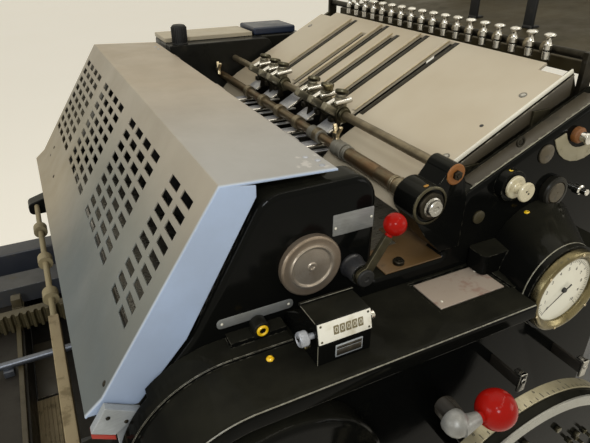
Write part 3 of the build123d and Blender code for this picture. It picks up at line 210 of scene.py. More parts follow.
def guard_fade(f, tint):
    """Guard's tone with painted light and shade: lit warm on top, painted shade darker down the slope, a painted
    highlight along the fold and the near flange painted blue-grey as lit by cool light, with random darker clouds and
    a bare worn patch near the right end of its top.
    """
    place = f.add("SeparateXYZ", Vector=f.mapped()).outputs
    tint = f.mix(f.span(place[1], -0.14, 0.24), GUARD_LOW_SHADE, GUARD_FAR_LIGHT)
    tint = f.mix(f.span(place[2], 0.84, 1, 0, 0.6), tint, GUARD_MID)
    tint = f.mix(f.span(place[2], 0.96, 1.09), tint, GUARD_HIGH_LIGHT)
    crown = f.mix(f.span(place[1], -0.44, 0.1), GUARD_NEAR_LIGHT, GUARD_TOP_LIGHT)
    tint = f.mix(f.span(place[0], -0.116, -0.112), tint, crown)
    # Painted highlight along the fold, then the near flange painted as lit by cool light
    tint = f.mix(f.span(place[1], -0.4455, -0.4500), tint, GUARD_FOLD_HIGHLIGHT)
    tint = f.mix(f.span(place[1], -0.4508, -0.4520), tint, GUARD_FLANGE_LIGHT)
    cloud = f.span(f.noise(120, 5, 0.6), 0.3, 0.7, 0, 0.16)
    tint = f.mix(cloud, tint, (92, 84, 66))
    bare = f.sum("ADD", f.span(f.reach((22, -424, 1088)), 0.01, 0.06, 0.4, 0), f.noise(14, 5, 0.6))
    return f.mix(f.span(bare, 0.86, 1, 0, 0.6), tint, (200, 194, 184))


def band_and_ring(f, tint):
    """Champagne scale band with a plainer steel ring in front of it."""
    place = f.add("SeparateXYZ", Vector=f.mapped()).outputs
    return f.mix(f.span(place[1], -0.682, -0.684), tint, (150, 150, 144))


def cap_rim(f, tint):
    """Browner rim round the bearing cap's raised disc."""
    return f.mix(f.span(f.reach((0, -464, AXIS)), 0.031, 0.037, 0, 0.6), tint, (118, 98, 76))


TAN = (112, 100, 78)
RUST = (84, 56, 34)

# Black enamel: its light edge tone is edge wear and also a painted highlight along the castings' rounded edges
enamel, case_enamel = [
    painted(name, (10, 11, 10), (14, 14, 12), 0.07, soil, (112, 108, 92), round=2, grain=0.05, soil_size=70,
        soil_from=0.62, gloss=gloss, dust=dust, haze=0.08)
    for name, soil, gloss, dust in (("black_enamel", (32, 30, 24), 1.14, (34, 33, 26)),
                                    ("deep_black_enamel", (26, 25, 19), 1.09, (36, 35, 28)))]
enamel_dull = painted("worn_black_enamel", (18, 18, 16), (28, 27, 22), 0.25, (50, 46, 36), RUST, grain=0.1,
    gloss=1.25)
dark_blue = painted("dark_blue_paint", (38, 43, 52), (48, 50, 56), 0.3, (74, 68, 56), TAN, grain=0.06)
blue_grey = painted("blue_grey_paint", (96, 106, 122), (108, 114, 124), 0.3, (112, 106, 92), TAN)
beige = painted("beige_paint", (178, 166, 140), (166, 156, 134), 0.35, (120, 108, 84), TAN)
steel = metal("ground_steel", (176, 174, 168), (150, 146, 138), (92, 84, 70), 0.62, 0.22, stretch=(0.05, 1, 1))
chrome = metal("worn_chrome", (214, 212, 206), (196, 192, 184), (110, 98, 76), 0.66, 0.12, 0.08, depth=0.008)
patina = metal("brown_patinated_steel", (134, 122, 98), (104, 94, 74), (104, 76, 50), 0.6, 0.32, stretch=(1, 0.08, 1),
    depth=0.03, metallic=0.7)
aluminium = metal("matt_aluminium", (172, 176, 178), (158, 162, 162), (120, 118, 112), 0.66, 0.36, 0.16,
    stretch=(0.06, 1, 1), metallic=0.35)
brass = metal("aged_brass", (126, 116, 86), (98, 90, 66), (66, 60, 44), 0.58, 0.22, 0.12)
white_enamel = painted("white_plate", (232, 230, 216), (224, 220, 204), 0.25, (190, 182, 156), TAN, coat=0.3,
    grain=0.01, round=0.4)
red_gloss = painted("glossy_red", (152, 18, 10), (132, 15, 9), 0.08, (120, 16, 12), (96, 20, 14), grain=0.01,
    soil_from=0.78, gloss=1.2)
red_plastic = painted("red_plastic", (186, 52, 34), (170, 44, 30), 0.35, (140, 40, 30), TAN)
ivory = painted("ivory_plastic", (206, 196, 164), (190, 178, 144), 0.22, (140, 126, 92), (150, 136, 100), coat=0.3,
    soil_size=14)
sheet = painted("beige_satin_sheet", (190, 178, 154), (182, 168, 142), 0.3, (164, 150, 124), (222, 218, 206),
    soil_size=180, soil_from=0.6)
board = painted("dark_olive_board", (58, 50, 28), (50, 43, 24), 0.45, (38, 32, 18), (104, 92, 64), grain=0.08,
    gloss=1.3)
roller = painted("cream_rubber", (150, 136, 102), (136, 124, 92), 0.5, (96, 84, 56), TAN)
strip = painted("tan_worn_strip", (150, 134, 100), (138, 122, 90), 0.45, (92, 78, 48), (170, 156, 124), soil_size=26,
    soil_from=0.5, grain=0.08)
# Guard paint whose tone carries painted light and shade from the guard's zones
guard_paint = painted("grey_guard_paint", GUARD_MID, GUARD_MID, 0.34, (112, 108, 98), (186, 190, 196), grain=0.03,
    soil_size=160, soil_from=0.7, round=2, zones=(guard_fade,))
cap_steel = metal("turned_cap_steel", (166, 156, 142), (142, 130, 114), (110, 92, 70), 0.64, 0.28,
    rings=(0, FACE, AXIS), zones=(cap_rim,), metallic=0.6)
champagne = metal("champagne_band", (166, 158, 132), (144, 136, 108), (96, 88, 64), 0.68, 0.26, 0.12,
    stretch=(1, 0.05, 1), zones=(band_and_ring,), metallic=0.6)
yellow = painted("yellow_oiling_mark", (250, 206, 24), (240, 192, 20), 0.3, (196, 146, 20), (170, 150, 60), coat=0.3,
    soil_size=8)
ochre_mark = painted("ochre_paint_mark", (176, 124, 20), (150, 104, 18), 0.4, (90, 64, 20), (120, 90, 40),
    soil_size=6)
rubber = painted("black_grip", (16, 16, 16), (24, 24, 23), 0.5, (44, 40, 34), (70, 68, 62), soil_size=20, gloss=1.4)
olive = metal("dark_olive_steel", (92, 88, 72), (66, 62, 48), (48, 42, 28), 0.56, 0.32)
dim_brown = metal("dim_brown_steel", (84, 76, 60), (64, 57, 44), (40, 36, 28), 0.56, 0.34, metallic=0.5)
dim_olive = painted("dim_olive_plug", (58, 50, 24), (46, 41, 24), 0.45, (30, 27, 18), (84, 76, 50), soil_size=10)
arc_card = painted("worn_arc_plate", (150, 142, 116), (138, 130, 104), 0.4, (104, 96, 72), TAN, soil_size=20,
    grain=0.01)
brown_rod = metal("brown_rod", (110, 98, 74), (108, 82, 56), (72, 60, 44), 0.58, 0.3, stretch=(1, 0.08, 1),
    depth=0.03, metallic=0.7)
rusty = painted("rust_brown_iron", (134, 82, 26), (104, 62, 24), 0.5, (66, 42, 20), (150, 120, 84), soil_size=16,
    grain=0.1)
ochre = painted("brown_worn_plate", (112, 84, 48), (90, 68, 40), 0.38, (52, 42, 28), (150, 128, 92), soil_size=40,
    grain=0.08)
worn_grey = painted("worn_grey_metal", (116, 112, 100), (94, 90, 78), 0.4, (66, 60, 46), (170, 166, 154),
    soil_size=18, grain=0.06)
dark_metal = metal("dark_oiled_steel", (58, 54, 46), (40, 38, 32), (26, 22, 16), 0.56, 0.36, 0.16)
nickel = metal("tarnished_nickel", (140, 134, 116), (104, 98, 80), (70, 60, 42), 0.52, 0.26, 0.12, metallic=0.8)
finger_steel = metal("bright_sheet_steel", (186, 186, 188), (164, 164, 164), (116, 108, 92), 0.64, 0.24, 0.12,
    stretch=(0.06, 1, 1), metallic=0.45)
hub_grey = metal("dark_grey_hub", (84, 84, 86), (62, 62, 62), (44, 42, 38), 0.58, 0.26, metallic=0.7)
lever_steel = metal("light_turned_steel", (140, 140, 136), (116, 114, 108), (84, 78, 66), 0.6, 0.34, 0.12,
    metallic=0.4)
blued_steel = metal("grey_blue_steel", (104, 108, 116), (84, 86, 92), (62, 58, 52), 0.6, 0.28, metallic=0.7)
cream_metal = metal("cream_plated_steel", (206, 192, 162), (178, 162, 130), (116, 96, 66), 0.62, 0.24, 0.12)
knurled = metal("light_grey_knurl", (178, 180, 184), (150, 152, 156), (110, 108, 104), 0.68, 0.36, 0.12, metallic=0.4)
ink = painted("black_print", (26, 26, 24), (34, 33, 30), 0.45, (44, 42, 36), (60, 58, 52), grain=0.01)
brown_print = painted("dark_brown_print", (52, 45, 32), (40, 35, 26), 0.4, (70, 62, 46), (90, 84, 66), grain=0.01,
    soil_size=9)
wheel_olive = painted("olive_number_wheel", (126, 116, 84), (112, 102, 72), 0.35, (96, 88, 62), (150, 140, 110),
    soil_size=12)
pale_print = painted("pale_print", (228, 224, 206), (216, 210, 190), 0.35, (190, 182, 160), (220, 216, 204),
    grain=0.01)
shelf_plate = painted("pinkish_worn_plate", (152, 136, 118), (164, 150, 134), 0.3, (138, 106, 92), (190, 180, 166),
    soil_size=26, soil_from=0.52)
rail_blue = painted("dark_blue_grey_rail", (46, 50, 60), (60, 60, 60), 0.35, (74, 68, 54), (128, 132, 136),
    soil_size=40, grain=0.05, round=3)
rack_olive = painted("olive_brown_rack", (74, 66, 42), (58, 50, 32), 0.4, (36, 30, 20), (120, 110, 80), soil_size=20,
    grain=0.1)
black_iron = painted("oily_black_iron", (26, 23, 19), (34, 30, 24), 0.4, (20, 17, 13), (84, 78, 60), soil_size=24,
    grain=0.1, gloss=1.35)
blanket = painted("black_cylinder_cover", (15, 15, 17), (20, 20, 22), 0.6, (28, 27, 26), (50, 48, 44), soil_size=90,
    grain=0.03, gloss=1.12)
# Pale strips that are a painted highlight along rounded edges, broken by dark patches
highlight_edge = painted("painted_highlight_edge", (150, 146, 124), (118, 114, 98), 0.3, (40, 39, 33), (190, 186, 170),
    soil_size=26, soil_from=0.5, grain=0.01)
bare_plate = metal("plain_grey_plate", (134, 135, 132), (118, 118, 113), (90, 86, 76), 0.66, 0.36,
    stretch=(0.05, 1, 1), metallic=0.25)
navy = painted("dark_navy_paint", (30, 38, 58), (36, 44, 60), 0.3, (60, 60, 58), TAN, soil_from=0.62)
dusty_iron = painted("brown_grey_worn_top", (56, 50, 38), (68, 61, 47), 0.42, (40, 36, 26), (196, 188, 164),
    soil_size=50, grain=0.05, round=3)
clear_card = painted("glossed_dial_card", (232, 229, 208), (226, 220, 198), 0.3, (214, 204, 172), TAN, coat=0.8,
    grain=0.005, round=0.3, soil_size=40, soil_from=0.66)


# Finish of each solid, and the record's material that each finish stands for

DRESS = {
    enamel: "side_frame_operator gauge_hood counter_box gear_cover rod_brackets",
    case_enamel: "control_case control_drum",
    enamel_dull: "side_frame_drive drive_case feeder_frame_operator feeder_frame_drive board_ledges drive_cap_knob",
    dark_blue: "base_wall_operator base_wall_drive",
    blue_grey: "feeder_head belt_guard motor",
    navy: "drive_housing",
    guard_paint: "cylinder_guard",
    beige: "drive_top_plate",
    strip: "wiper_strip",
    black_iron: "base_cross_members",
    rack_olive: "bed_rack",
    rail_blue: "bed_rails",
    blanket: "impression_cylinder",
    steel: "type_bed bearing_cap control_lever",
    champagne: "drum_bands",
    olive: "stop_lever lay_cheeks",
    dark_metal: "knob_rail",
    patina: "guard_hinge_rod guide_rod_front guide_rod_rear",
    chrome: "counter_reset_knob guide_clamps gripper_fingers rail_knobs",
    aluminium: "interlock_bracket",
    shelf_plate: "spec_plate",
    brass: "gauge_bezel",
    clear_card: "gauge_dial",
    white_enamel: "counter_face",
    red_gloss: "control_ball stop_lever_ball",
    red_plastic: "interlock_switch",
    ivory: "adjusting_knob",
    sheet: "lay_plate",
    board: "main_feed_board pile_board",
    roller: "delivery_rollers",
}
SLOTS = {
    "steel": (steel, cap_steel, lever_steel, blued_steel, dark_metal, hub_grey, olive, dim_brown, highlight_edge,
              worn_grey),
    "bright_chrome": (chrome, nickel, knurled, cream_metal, finger_steel),
    "rust_steel": (patina, brown_rod, rusty, ochre, dim_olive),
    "brown_iron": (black_iron, dusty_iron, rack_olive),
    "black_enamel": (enamel, enamel_dull, rubber, ink, brown_print),
    "brass_ring": (brass, yellow, ochre_mark),
    "white_plate": (white_enamel, wheel_olive),
    "sheet_metal": (sheet, strip, pale_print),
    "aluminium_plate": (aluminium, bare_plate),
    "beige_paint": (arc_card,),
    "ivory_plastic": (ivory,),
    "red_ball": (red_gloss,),
}
SLOT_OF = {material: slot for slot, group in SLOTS.items() for material in group}
for material, names in DRESS.items():
    for node in names.split():
        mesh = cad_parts[node].data
        mesh.materials.clear()
        mesh.materials.append(material)


# Floor, light and camera

def show(name, data):
    """New object in the scene."""
    obj = bpy.data.objects.new(name, data)
    scene.collection.objects.link(obj)
    return obj


def seen_at_all(f):
    """One where the camera looks, straight or by way of a mirror or glass, and nought where light is gathered."""
    path = f.add("LightPath").outputs
    direct = f.sum("MAXIMUM", path["Is Camera Ray"], path["Is Transmission Ray"])
    return f.sum("MAXIMUM", direct, path["Is Glossy Ray"])


def floor():
    """Wide pale floor that keeps the press's shadow."""
    grid = bmesh.new()
    bmesh.ops.create_grid(grid, x_segments=8, y_segments=8, size=30)
    mesh = bpy.data.meshes.new("floor")
    grid.to_mesh(mesh)
    grid.free()
    f = Finish("pale_floor")
    tint = f.mix(f.noise(900, 2), (226, 221, 208), (232, 227, 214))
    mesh.materials.append(f.set(Base_Color=tint, Roughness=0.9, Emission_Color=tone(232, 226, 210),
                                Emission_Strength=f.sum("MULTIPLY", seen_at_all(f), 0.44)))
    ground = show("floor", mesh)


def lamp(name, spot, target, width, height, power, colour):
    """Soft square lamp that looks at a point."""
    light = bpy.data.lights.new(name, "AREA")
    light.shape = "RECTANGLE"
    light.size, light.size_y = width, height
    light.energy = power
    light.color = colour
    obj = show(name, light)
    turn = (Vector(spot) - Vector(target)).to_track_quat("Z", "Y").to_matrix().to_4x4()
    obj.matrix_world = Matrix.Translation(Vector(spot)) @ turn
    obj.visible_camera = False


def sky():
    """Even pale surroundings: as bright as the floor where they are seen, and softer as a light."""
    scene.world = bpy.data.worlds.new("surroundings")
    f = Finish("surroundings", scene.world, "Background")
    seen = seen_at_all(f)
    tint = f.mix(seen, [1, 0.97, 0.91, 1], [1, 0.94, 0.77, 1])
    f.set(Color=tint, Strength=f.span(seen, 0, 1, 0.42, 0.78))


def camera():
    """Camera where the photograph was taken: its focal length and width are in pixels, and the film's in mm."""
    focal, width, film = 526, 590, 36
    lens = bpy.data.cameras.new("photograph")
    lens.sensor_width = film
    lens.lens = focal * film / width
    lens.clip_start = 0.02
    obj = show("photograph", lens)
    obj.location = METRES @ Vector((-280, -973, 1350))
    obj.rotation_euler = [radians(a) for a in (61, 0, -26.6)]
    scene.camera = obj


floor()
sky()
camera()
lamp("ceiling", (0.3, 0.5, 3.2), (0, 0, 0.9), 3, 2, 12, (1, 0.96, 0.9))
lamp("window", (-1.3, -2.4, 2.5), (0.1, -0.2, 0.9), 0.5, 0.6, 24, (0.9, 0.95, 1))
lamp("side_window", (-3, -0.6, 1.9), (0, -0.1, 0.9), 1.4, 1, 18, (0.94, 0.97, 1))
lamp("fill", (2.6, -2.2, 1.8), (0.2, -0.2, 0.9), 1.4, 1, 14, (1, 0.98, 0.95))
lamp("tube", (0.8, -1.1, 2.9), (0.3, -0.4, 0.9), 3.4, 0.12, 11, (1, 0.95, 0.84))
lamp("front_light", (-0.46, -1, 1.55), (0.1, -0.3, 0.95), 0.1, 0.1, 1.1, (0.95, 0.97, 1))
scene.view_settings.view_transform = "Standard"


# Building

# Angle between two faces, in radians, from which their edge is rounded
SHARP = 0.7


def turned(profile, steps=48):
    """Round shape about the Z axis from radius and height pairs: a loop, or a line that is closed to the axis."""
    shape = bmesh.new()
    if profile[0] != profile[-1]:
        ends = [[(0, height)] if radius else [] for radius, height in (profile[0], profile[-1])]
        profile = ends[0] + profile + ends[1]
    points = [shape.verts.new((radius, 0, height)) for radius, height in profile]
    line = [shape.edges.new(pair) for pair in zip(points, points[1:])]
    bmesh.ops.spin(shape, geom=points + line, axis=(0, 0, 1), cent=(0, 0, 0), angle=tau, steps=steps,
                   use_merge=True)
    bmesh.ops.remove_doubles(shape, verts=shape.verts, dist=1e-4)
    bmesh.ops.recalc_face_normals(shape, faces=shape.faces)
    return shape


def disc(radius, height, steps=20):
    """Plain round plug on the XY plane."""
    return turned([(radius, 0), (radius, height)], steps)


def brick(width, depth, height, edge=0, corner=0):
    """Block on the XY plane, centred, with rounded upright corners and softened edges."""
    shape = bmesh.new()
    bmesh.ops.create_cube(shape, size=1)
    size = Matrix.Diagonal((width, depth, height, 1))
    bmesh.ops.transform(shape, matrix=Matrix.Translation((0, 0, height / 2)) @ size, verts=shape.verts)
    if corner:
        upright = [e for e in shape.edges if abs(e.verts[0].co.z - e.verts[1].co.z) > height / 2]
        soften(shape, upright, corner, 4)
    if edge:
        soften(shape, [e for e in shape.edges if e.calc_face_angle(0) > SHARP], edge, 2)
    return shape


def soften(shape, edges, width, segments):
    """Rounded edges."""
    bmesh.ops.bevel(shape, geom=edges, offset=width, offset_type="OFFSET", segments=segments, profile=0.5,
                    affect="EDGES", material=-1, clamp_overlap=True)


def prism(outline, thick, edge=0):
    """Plate with an outline in X and Y, from Z 0 to its thickness."""
    shape = bmesh.new()
    face = shape.faces.new([shape.verts.new((x, y, 0)) for x, y in outline])
    grown = bmesh.ops.extrude_face_region(shape, geom=[face])["geom"]
    bmesh.ops.translate(shape, verts=[g for g in grown if isinstance(g, bmesh.types.BMVert)], vec=(0, 0, thick))
    bmesh.ops.recalc_face_normals(shape, faces=shape.faces)
    if edge:
        soften(shape, [e for e in shape.edges if e.calc_face_angle(0) > SHARP], edge, 2)
    return shape


def hexagon(across, height):
    """Hexagonal nut or head with softened corners."""
    shape = bmesh.new()
    corner = across / 1.732
    bmesh.ops.create_cone(shape, cap_ends=True, segments=6, radius1=corner, radius2=corner, depth=height)
    bmesh.ops.translate(shape, verts=shape.verts, vec=(0, 0, height / 2))
    soften(shape, list(shape.edges), min(height, across) * 0.08, 2)
    return shape


def dome(radius, height, steps=24):
    """Low domed head."""
    rise = [(radius * cos(a), height * (0.35 + 0.65 * sin(a))) for a in (0, 0.4, 0.8, 1.2)]
    return turned([(radius, 0)] + rise + [(0, height)], steps)


def facing(point, normal, across=(1, 0, 0)):
    """Frame at a point: its Z along the normal and its X as near to across as it can be."""
    up = Vector(normal).normalized()
    side = (Vector(across) - up * up.dot(Vector(across))).normalized()
    turn = Matrix((side, up.cross(side), up)).transposed().to_4x4()
    return Matrix.Translation(Vector(point)) @ turn


def bent(radius, height, wide, thick, start, turn):
    """Thin strip on a round outer edge, at 45 degrees, from one angle through a turn about Z."""
    along = Vector((1, 0, -1)).normalized() * wide / 2
    out = Vector((1, 0, 1)).normalized() * thick
    middle = Vector((radius, 0, height))
    shape = bmesh.new()
    corners = [middle - along, middle + along, middle + along + out, middle - along + out]
    shape.faces.new([shape.verts.new(point) for point in corners])
    bmesh.ops.rotate(shape, verts=shape.verts, cent=(0, 0, 0), matrix=Matrix.Rotation(start, 3, "Z"))
    bmesh.ops.spin(shape, geom=shape.faces[:] + shape.edges[:] + shape.verts[:], axis=(0, 0, 1), cent=(0, 0, 0),
                   angle=turn, steps=40)
    bmesh.ops.recalc_face_normals(shape, faces=shape.faces)
    return shape


def front(x, z, y=FACE):
    """Frame on a wall that faces the operator."""
    return facing((x, y, z), (0, -1, 0))


def end(x, y, z, way=1):
    """Frame on a wall that faces along the press."""
    return facing((x, y, z), (way, 0, 0), (0, 1, 0))


def top(x, y, z):
    """Frame on a level surface."""
    return facing((x, y, z), (0, 0, 1))


def collar(outer, inner, width):
    """Ring round the Z axis with chamfered rims and a shallow groove."""
    half = width / 2
    loop = [(inner, -half), (outer - 0.8, -half), (outer, -half + 0.8), (outer, -0.9), (outer - 0.6, -0.4),
            (outer - 0.6, 0.4), (outer, 0.9), (outer, half - 0.8), (outer - 0.8, half), (inner, half), (inner, -half)]
    return turned(loop, 36)


def put(name, material, *parts, body="press", slot=None, angle=32, replaces=()):
    """Object in metres that rides on its body, made of shapes that are each followed by a frame or a list of them."""
    whole = bmesh.new()
    for shape, places in zip(parts[::2], parts[1::2]):
        for place in places if isinstance(places, list) else [places]:
            scrap = bpy.data.meshes.new("scrap")
            shape.to_mesh(scrap)
            scrap.transform(place)
            whole.from_mesh(scrap)
            bpy.data.meshes.remove(scrap)
        shape.free()
    mesh = bpy.data.meshes.new(name)
    whole.to_mesh(mesh)
    whole.free()
    mesh.transform(METRES)
    mesh.shade_smooth()
    mesh.set_sharp_from_angle(angle=radians(angle))
    mesh.materials.append(material)
    obj = show(name, mesh)
    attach(obj, body)
    slot = slot or SLOT_OF[material]
    if replaces:
        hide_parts(*replaces)


def dressed(node, width, body="press"):
    """Copy of a CAD node with rounded edges, in place of the node."""
    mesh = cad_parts[node].data.copy()
    shape = bmesh.new()
    shape.from_mesh(mesh)
    bmesh.ops.remove_doubles(shape, verts=shape.verts, dist=1e-6)
    bmesh.ops.dissolve_limit(shape, angle_limit=radians(0.4), verts=shape.verts, edges=shape.edges)
    shape.to_mesh(mesh)
    shape.free()
    mesh.shade_smooth()
    mesh.set_sharp_from_angle(angle=radians(35))
    obj = show(node + "_dressed", mesh)
    bevel = obj.modifiers.new("rounding", "BEVEL")
    bevel.width = width / 1000
    bevel.segments = 3
    bevel.limit_method = "ANGLE"
    bevel.angle_limit = radians(40)
    bevel.harden_normals = True
    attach(obj, body)
    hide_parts(node)


# Castings and sheets with softened edges

ROUNDINGS = {
    7: "side_frame_operator gauge_hood",
    5: "drive_case feeder_frame_operator feeder_frame_drive belt_guard drive_housing side_frame_drive",
    4: "control_case gear_cover base_wall_operator base_wall_drive feeder_head",
    2.5: "motor",
    2.4: "rod_brackets",
    2: "pile_board main_feed_board board_ledges type_bed",
    1.5: "drive_top_plate wiper_strip",
    1.4: "counter_box",
    1: "control_drum",
    0.8: "interlock_bracket lay_plate drum_bands",
}
for width, nodes in ROUNDINGS.items():
    for node in nodes.split():
        dressed(node, width)
dressed("cylinder_guard", 1.2, "guard")
dressed("stop_lever", 1.2, "stop")


# Bearing cap

cap = [(45, 0), (45, 8.2), (43.8, 10.4), (42, 11), (36, 10.2), (32.6, 10.4), (31.4, 12.6), (29.6, 12.4), (28.2, 10.2),
       (27, 9.6), (7, 9.8), (5.6, 11.2), (3.6, 11.2), (2.6, 9.4), (0, 9.2)]
put("bearing_cap_turned", cap_steel, turned(cap, 96), front(0, AXIS), angle=24, replaces=["bearing_cap"])


# Levers and their balls

def ball(radius, neck, stem, stem_radius):
    """Ball on a short neck: the flat end stands on the stem's end."""
    low = asin(neck / radius)
    count = 22
    arc = [pi - low - step * (pi - low) / count for step in range(count)]
    centre = stem + radius * cos(low)
    rise = [(radius * sin(a), centre + radius * cos(a)) for a in arc]
    return turned([(stem_radius, 0), (stem_radius, stem)] + rise + [(0, centre + radius)], 56)


DRUM = (236, 611)
DRUM_FACE = -681
LEVER_FACE = -644.5
lean = (cos(radians(123)), 0, sin(radians(123)))
blade = [(31, -17), (272, -14), (281, -10), (285, 0), (281, 10), (272, 14), (31, 17)]
knuckle = [(11.4, 0), (14.2, 1.6), (15.8, 5), (16, 12), (14.6, 18), (11, 23), (6, 26), (0, 27)]
neck = [(13, 0), (11.6, 8), (9.6, 18), (8, 27.2)]
put("control_lever_head", lever_steel, turned(knuckle, 40), front(73.5, 851, -671),
    turned(neck, 36), end(76, -686.5, 849.6), body="control")
put("control_lever_arm", black_iron, collar(52, 30.6, 10), front(*DRUM, LEVER_FACE),
    prism(blade, 9.6, 1.2), facing((DRUM[0], LEVER_FACE, DRUM[1]), (0, -1, 0), lean),
    disc(10, 22, 32), front(79, 850.5, -650), body="control", slot="steel", replaces=["control_lever"])
put("control_ball_turned", red_gloss, ball(25, 9, 5, 7), end(103.6, -686.5, 849.2), body="control",
    replaces=["control_ball"])
put("stop_ball_turned", red_gloss, ball(16, 6.5, 3.6, 5.5),
    facing((102.45, -487.4, 992.1), (0.5299, 0, 0.848), (0, 1, 0)), body="stop", replaces=["stop_lever_ball"])

sleeve = [(15.2, 0), (18.4, 0), (18.8, 1), (18.8, 3), (18, 4.6), (17.4, 5.4), (16.8, 9), (16.4, 14), (16.4, 22),
          (15.8, 26.8), (15.2, 26.8), (15.2, 0)]
put("stop_lever_sleeve", hub_grey, turned(sleeve), front(68, 937))
put("stop_lever_end", rubber, turned([(13.2, 0), (13.2, 2.4), (11.8, 4), (4, 4.6), (3, 3.6)]),
    front(68, 937, -490.6), body="stop")


# Counter

def leaning(x, rise, lift=0):
    """Frame on the counter's leaning face, off its middle by a rise and lifted from it."""
    up = Vector((0, 0.2425, 0.9701))
    out = (0, -0.9701, 0.2425)
    return facing(Vector((x, -550.3, 922.4)) + up * rise, out) @ Matrix.Translation((0, 0, lift))


def figures(words, size):
    """Plain number as a thin solid on the XY plane."""
    curve = bpy.data.curves.new("figures", "FONT")
    curve.body = words
    curve.size = size
    curve.extrude = 0.1
    curve.align_x = curve.align_y = "CENTER"
    holder = bpy.data.objects.new("figures", curve)
    shape = bmesh.new()
    shape.from_mesh(holder.to_mesh())
    holder.to_mesh_clear()
    bpy.data.objects.remove(holder)
    bpy.data.curves.remove(curve)
    return shape


WHEELS = [-12 + place * 8.8 for place in range(5)]
put("counter_wheels", wheel_olive, brick(7.4, 12, 0.9, 0.35, 1), [leaning(x, 0.6) for x in WHEELS])
put("counter_figures", pale_print, figures("0", 10.5), [leaning(x, 0.6, 1) for x in WHEELS], slot="white_plate")
put("counter_face_sheet", white_enamel, brick(75.6, 27.4, 0.7, 0.3, 1.2), leaning(1, 0, -0.4))
put("counter_face_pins", olive, dome(1.6, 1.1, 16), [leaning(x, rise) for x in (-33, 35) for rise in (-10.4, 10.4)])
put("counter_badge_frame", aluminium, brick(40, 19.4, 1, 0.35, 1.2), front(7, 889.7, -552))
put("counter_badge", brown_print, brick(36.4, 4.2, 0.6, 0.2), front(7, 895.2, -552.9),
    brick(36.4, 9.4, 0.6, 0.2), front(7, 887.2, -552.9))
put("shelf_plate_pins", pale_print, dome(2.2, 1.3, 18), [top(190, -516, 872.3), top(289, -478, 872.3)],
    slot="bright_chrome")
put("counter_end_nut", chrome, turned([(4.2, 0), (4.2, 3), (6.4, 3.4), (6.4, 8.6), (5.6, 9.4)], 24),
    end(39.8, -540, 918))
put("counter_side_screw", brass, turned([(3.4, 0), (3.4, 3.4), (2.6, 4.6), (0, 4.8)], 20), end(-37.8, -524, 884, -1))
put("counter_back_rib", enamel, brick(80, 4, 5, 1), top(1, -502, 934))
# Thin pale strips along the counter's edges and back rib: a painted highlight
put("counter_edge_highlights", highlight_edge, brick(31, 0.9, 0.2), facing((-37.6, -551.6, 891), (-1, -1, 0), (0, 0, 1)),
    brick(41, 0.9, 0.2), facing((-37.6, -522.5, 935.6), (-1, 0, 1), (0, 1, 0)),
    brick(77, 0.9, 0.2), facing((1, -503.7, 938.7), (0, -1, 1)))

radii = [10 if step % 2 else 9.35 for step in range(72)]
toothed = [(radius * cos(step * tau / 72), radius * sin(step * tau / 72)) for step, radius in enumerate(radii)]
button = [(9, 0), (9.5, 1.4), (9.5, 10.6), (8.8, 12), (7.4, 12), (6.9, 11.2)]
put("counter_reset_knurl", knurled, prism(toothed, 9.4), end(-47.3, -538, 914, -1),
    turned(button), end(-46, -538, 914, -1), disc(4, 15.4, 24), end(-31, -538, 914, -1),
    body="reset_knob", replaces=["counter_reset_knob"])
put("counter_reset_centre", dark_metal, disc(2.6, 0.5), end(-57.2, -538, 914, -1),
    brick(1.2, 5.4, 0.6, 0.1), end(-57.3, -533.6, 914, -1), body="reset_knob")


# Plates

def plate(name, x, z, width, height, corner, pins):
    """Bare plate on the side frame's face, with a round pin near each end."""
    put(name, bare_plate, brick(width, height, 1.2, 0.3, corner), front(x, z))
    heads = [front(x + aside, z + rise, FACE - 1.2) for aside, rise in pins]
    put(name + "_pins", pale_print, dome(1.9, 1.3, 18), heads, slot="bright_chrome")


plate("ear_plate", 67, 1008, 64, 32, 1.5, ((-28, -4), (28, 1)))
plate("long_plate", -79, 903.5, 110, 15, 6.5, ((-48, 0), (48, 0)))


# Oil cup and nipples

round_end = [(11.5 * cos(a / 8 * pi), 9 + 11.5 * sin(a / 8 * pi)) for a in range(1, 8)]
put("oil_cup_lug", enamel_dull, prism([(-11.5, -2), (11.5, -2), (11.5, 9)] + round_end + [(-11.5, 9)], 20, 1.6),
    front(-80, 884, -459))
put("oil_cup_ring", yellow, turned([(4.2, 0), (8.2, 0), (8.2, 1.8), (7, 3), (5.2, 3), (4.2, 1.6), (4.2, 0)], 36),
    front(-80, 893, -478.8))
put("oil_cup_bore", dark_metal, turned([(4.4, 0), (4.4, 1), (0, 0.4)], 24), front(-80, 893, -478.9))
nipple = [(0, -4), (2.6, -4), (2.6, 2), (4.6, 3), (5.2, 6), (3.6, 8.4), (2.4, 9), (2, 8), (0, 7.6)]
put("oil_nipples", yellow, turned(nipple, 24), [top(-85, -513, 869), top(343, -463, 1023), top(394, -468, 943)])


# Hub of the front rod, eye of the rear one

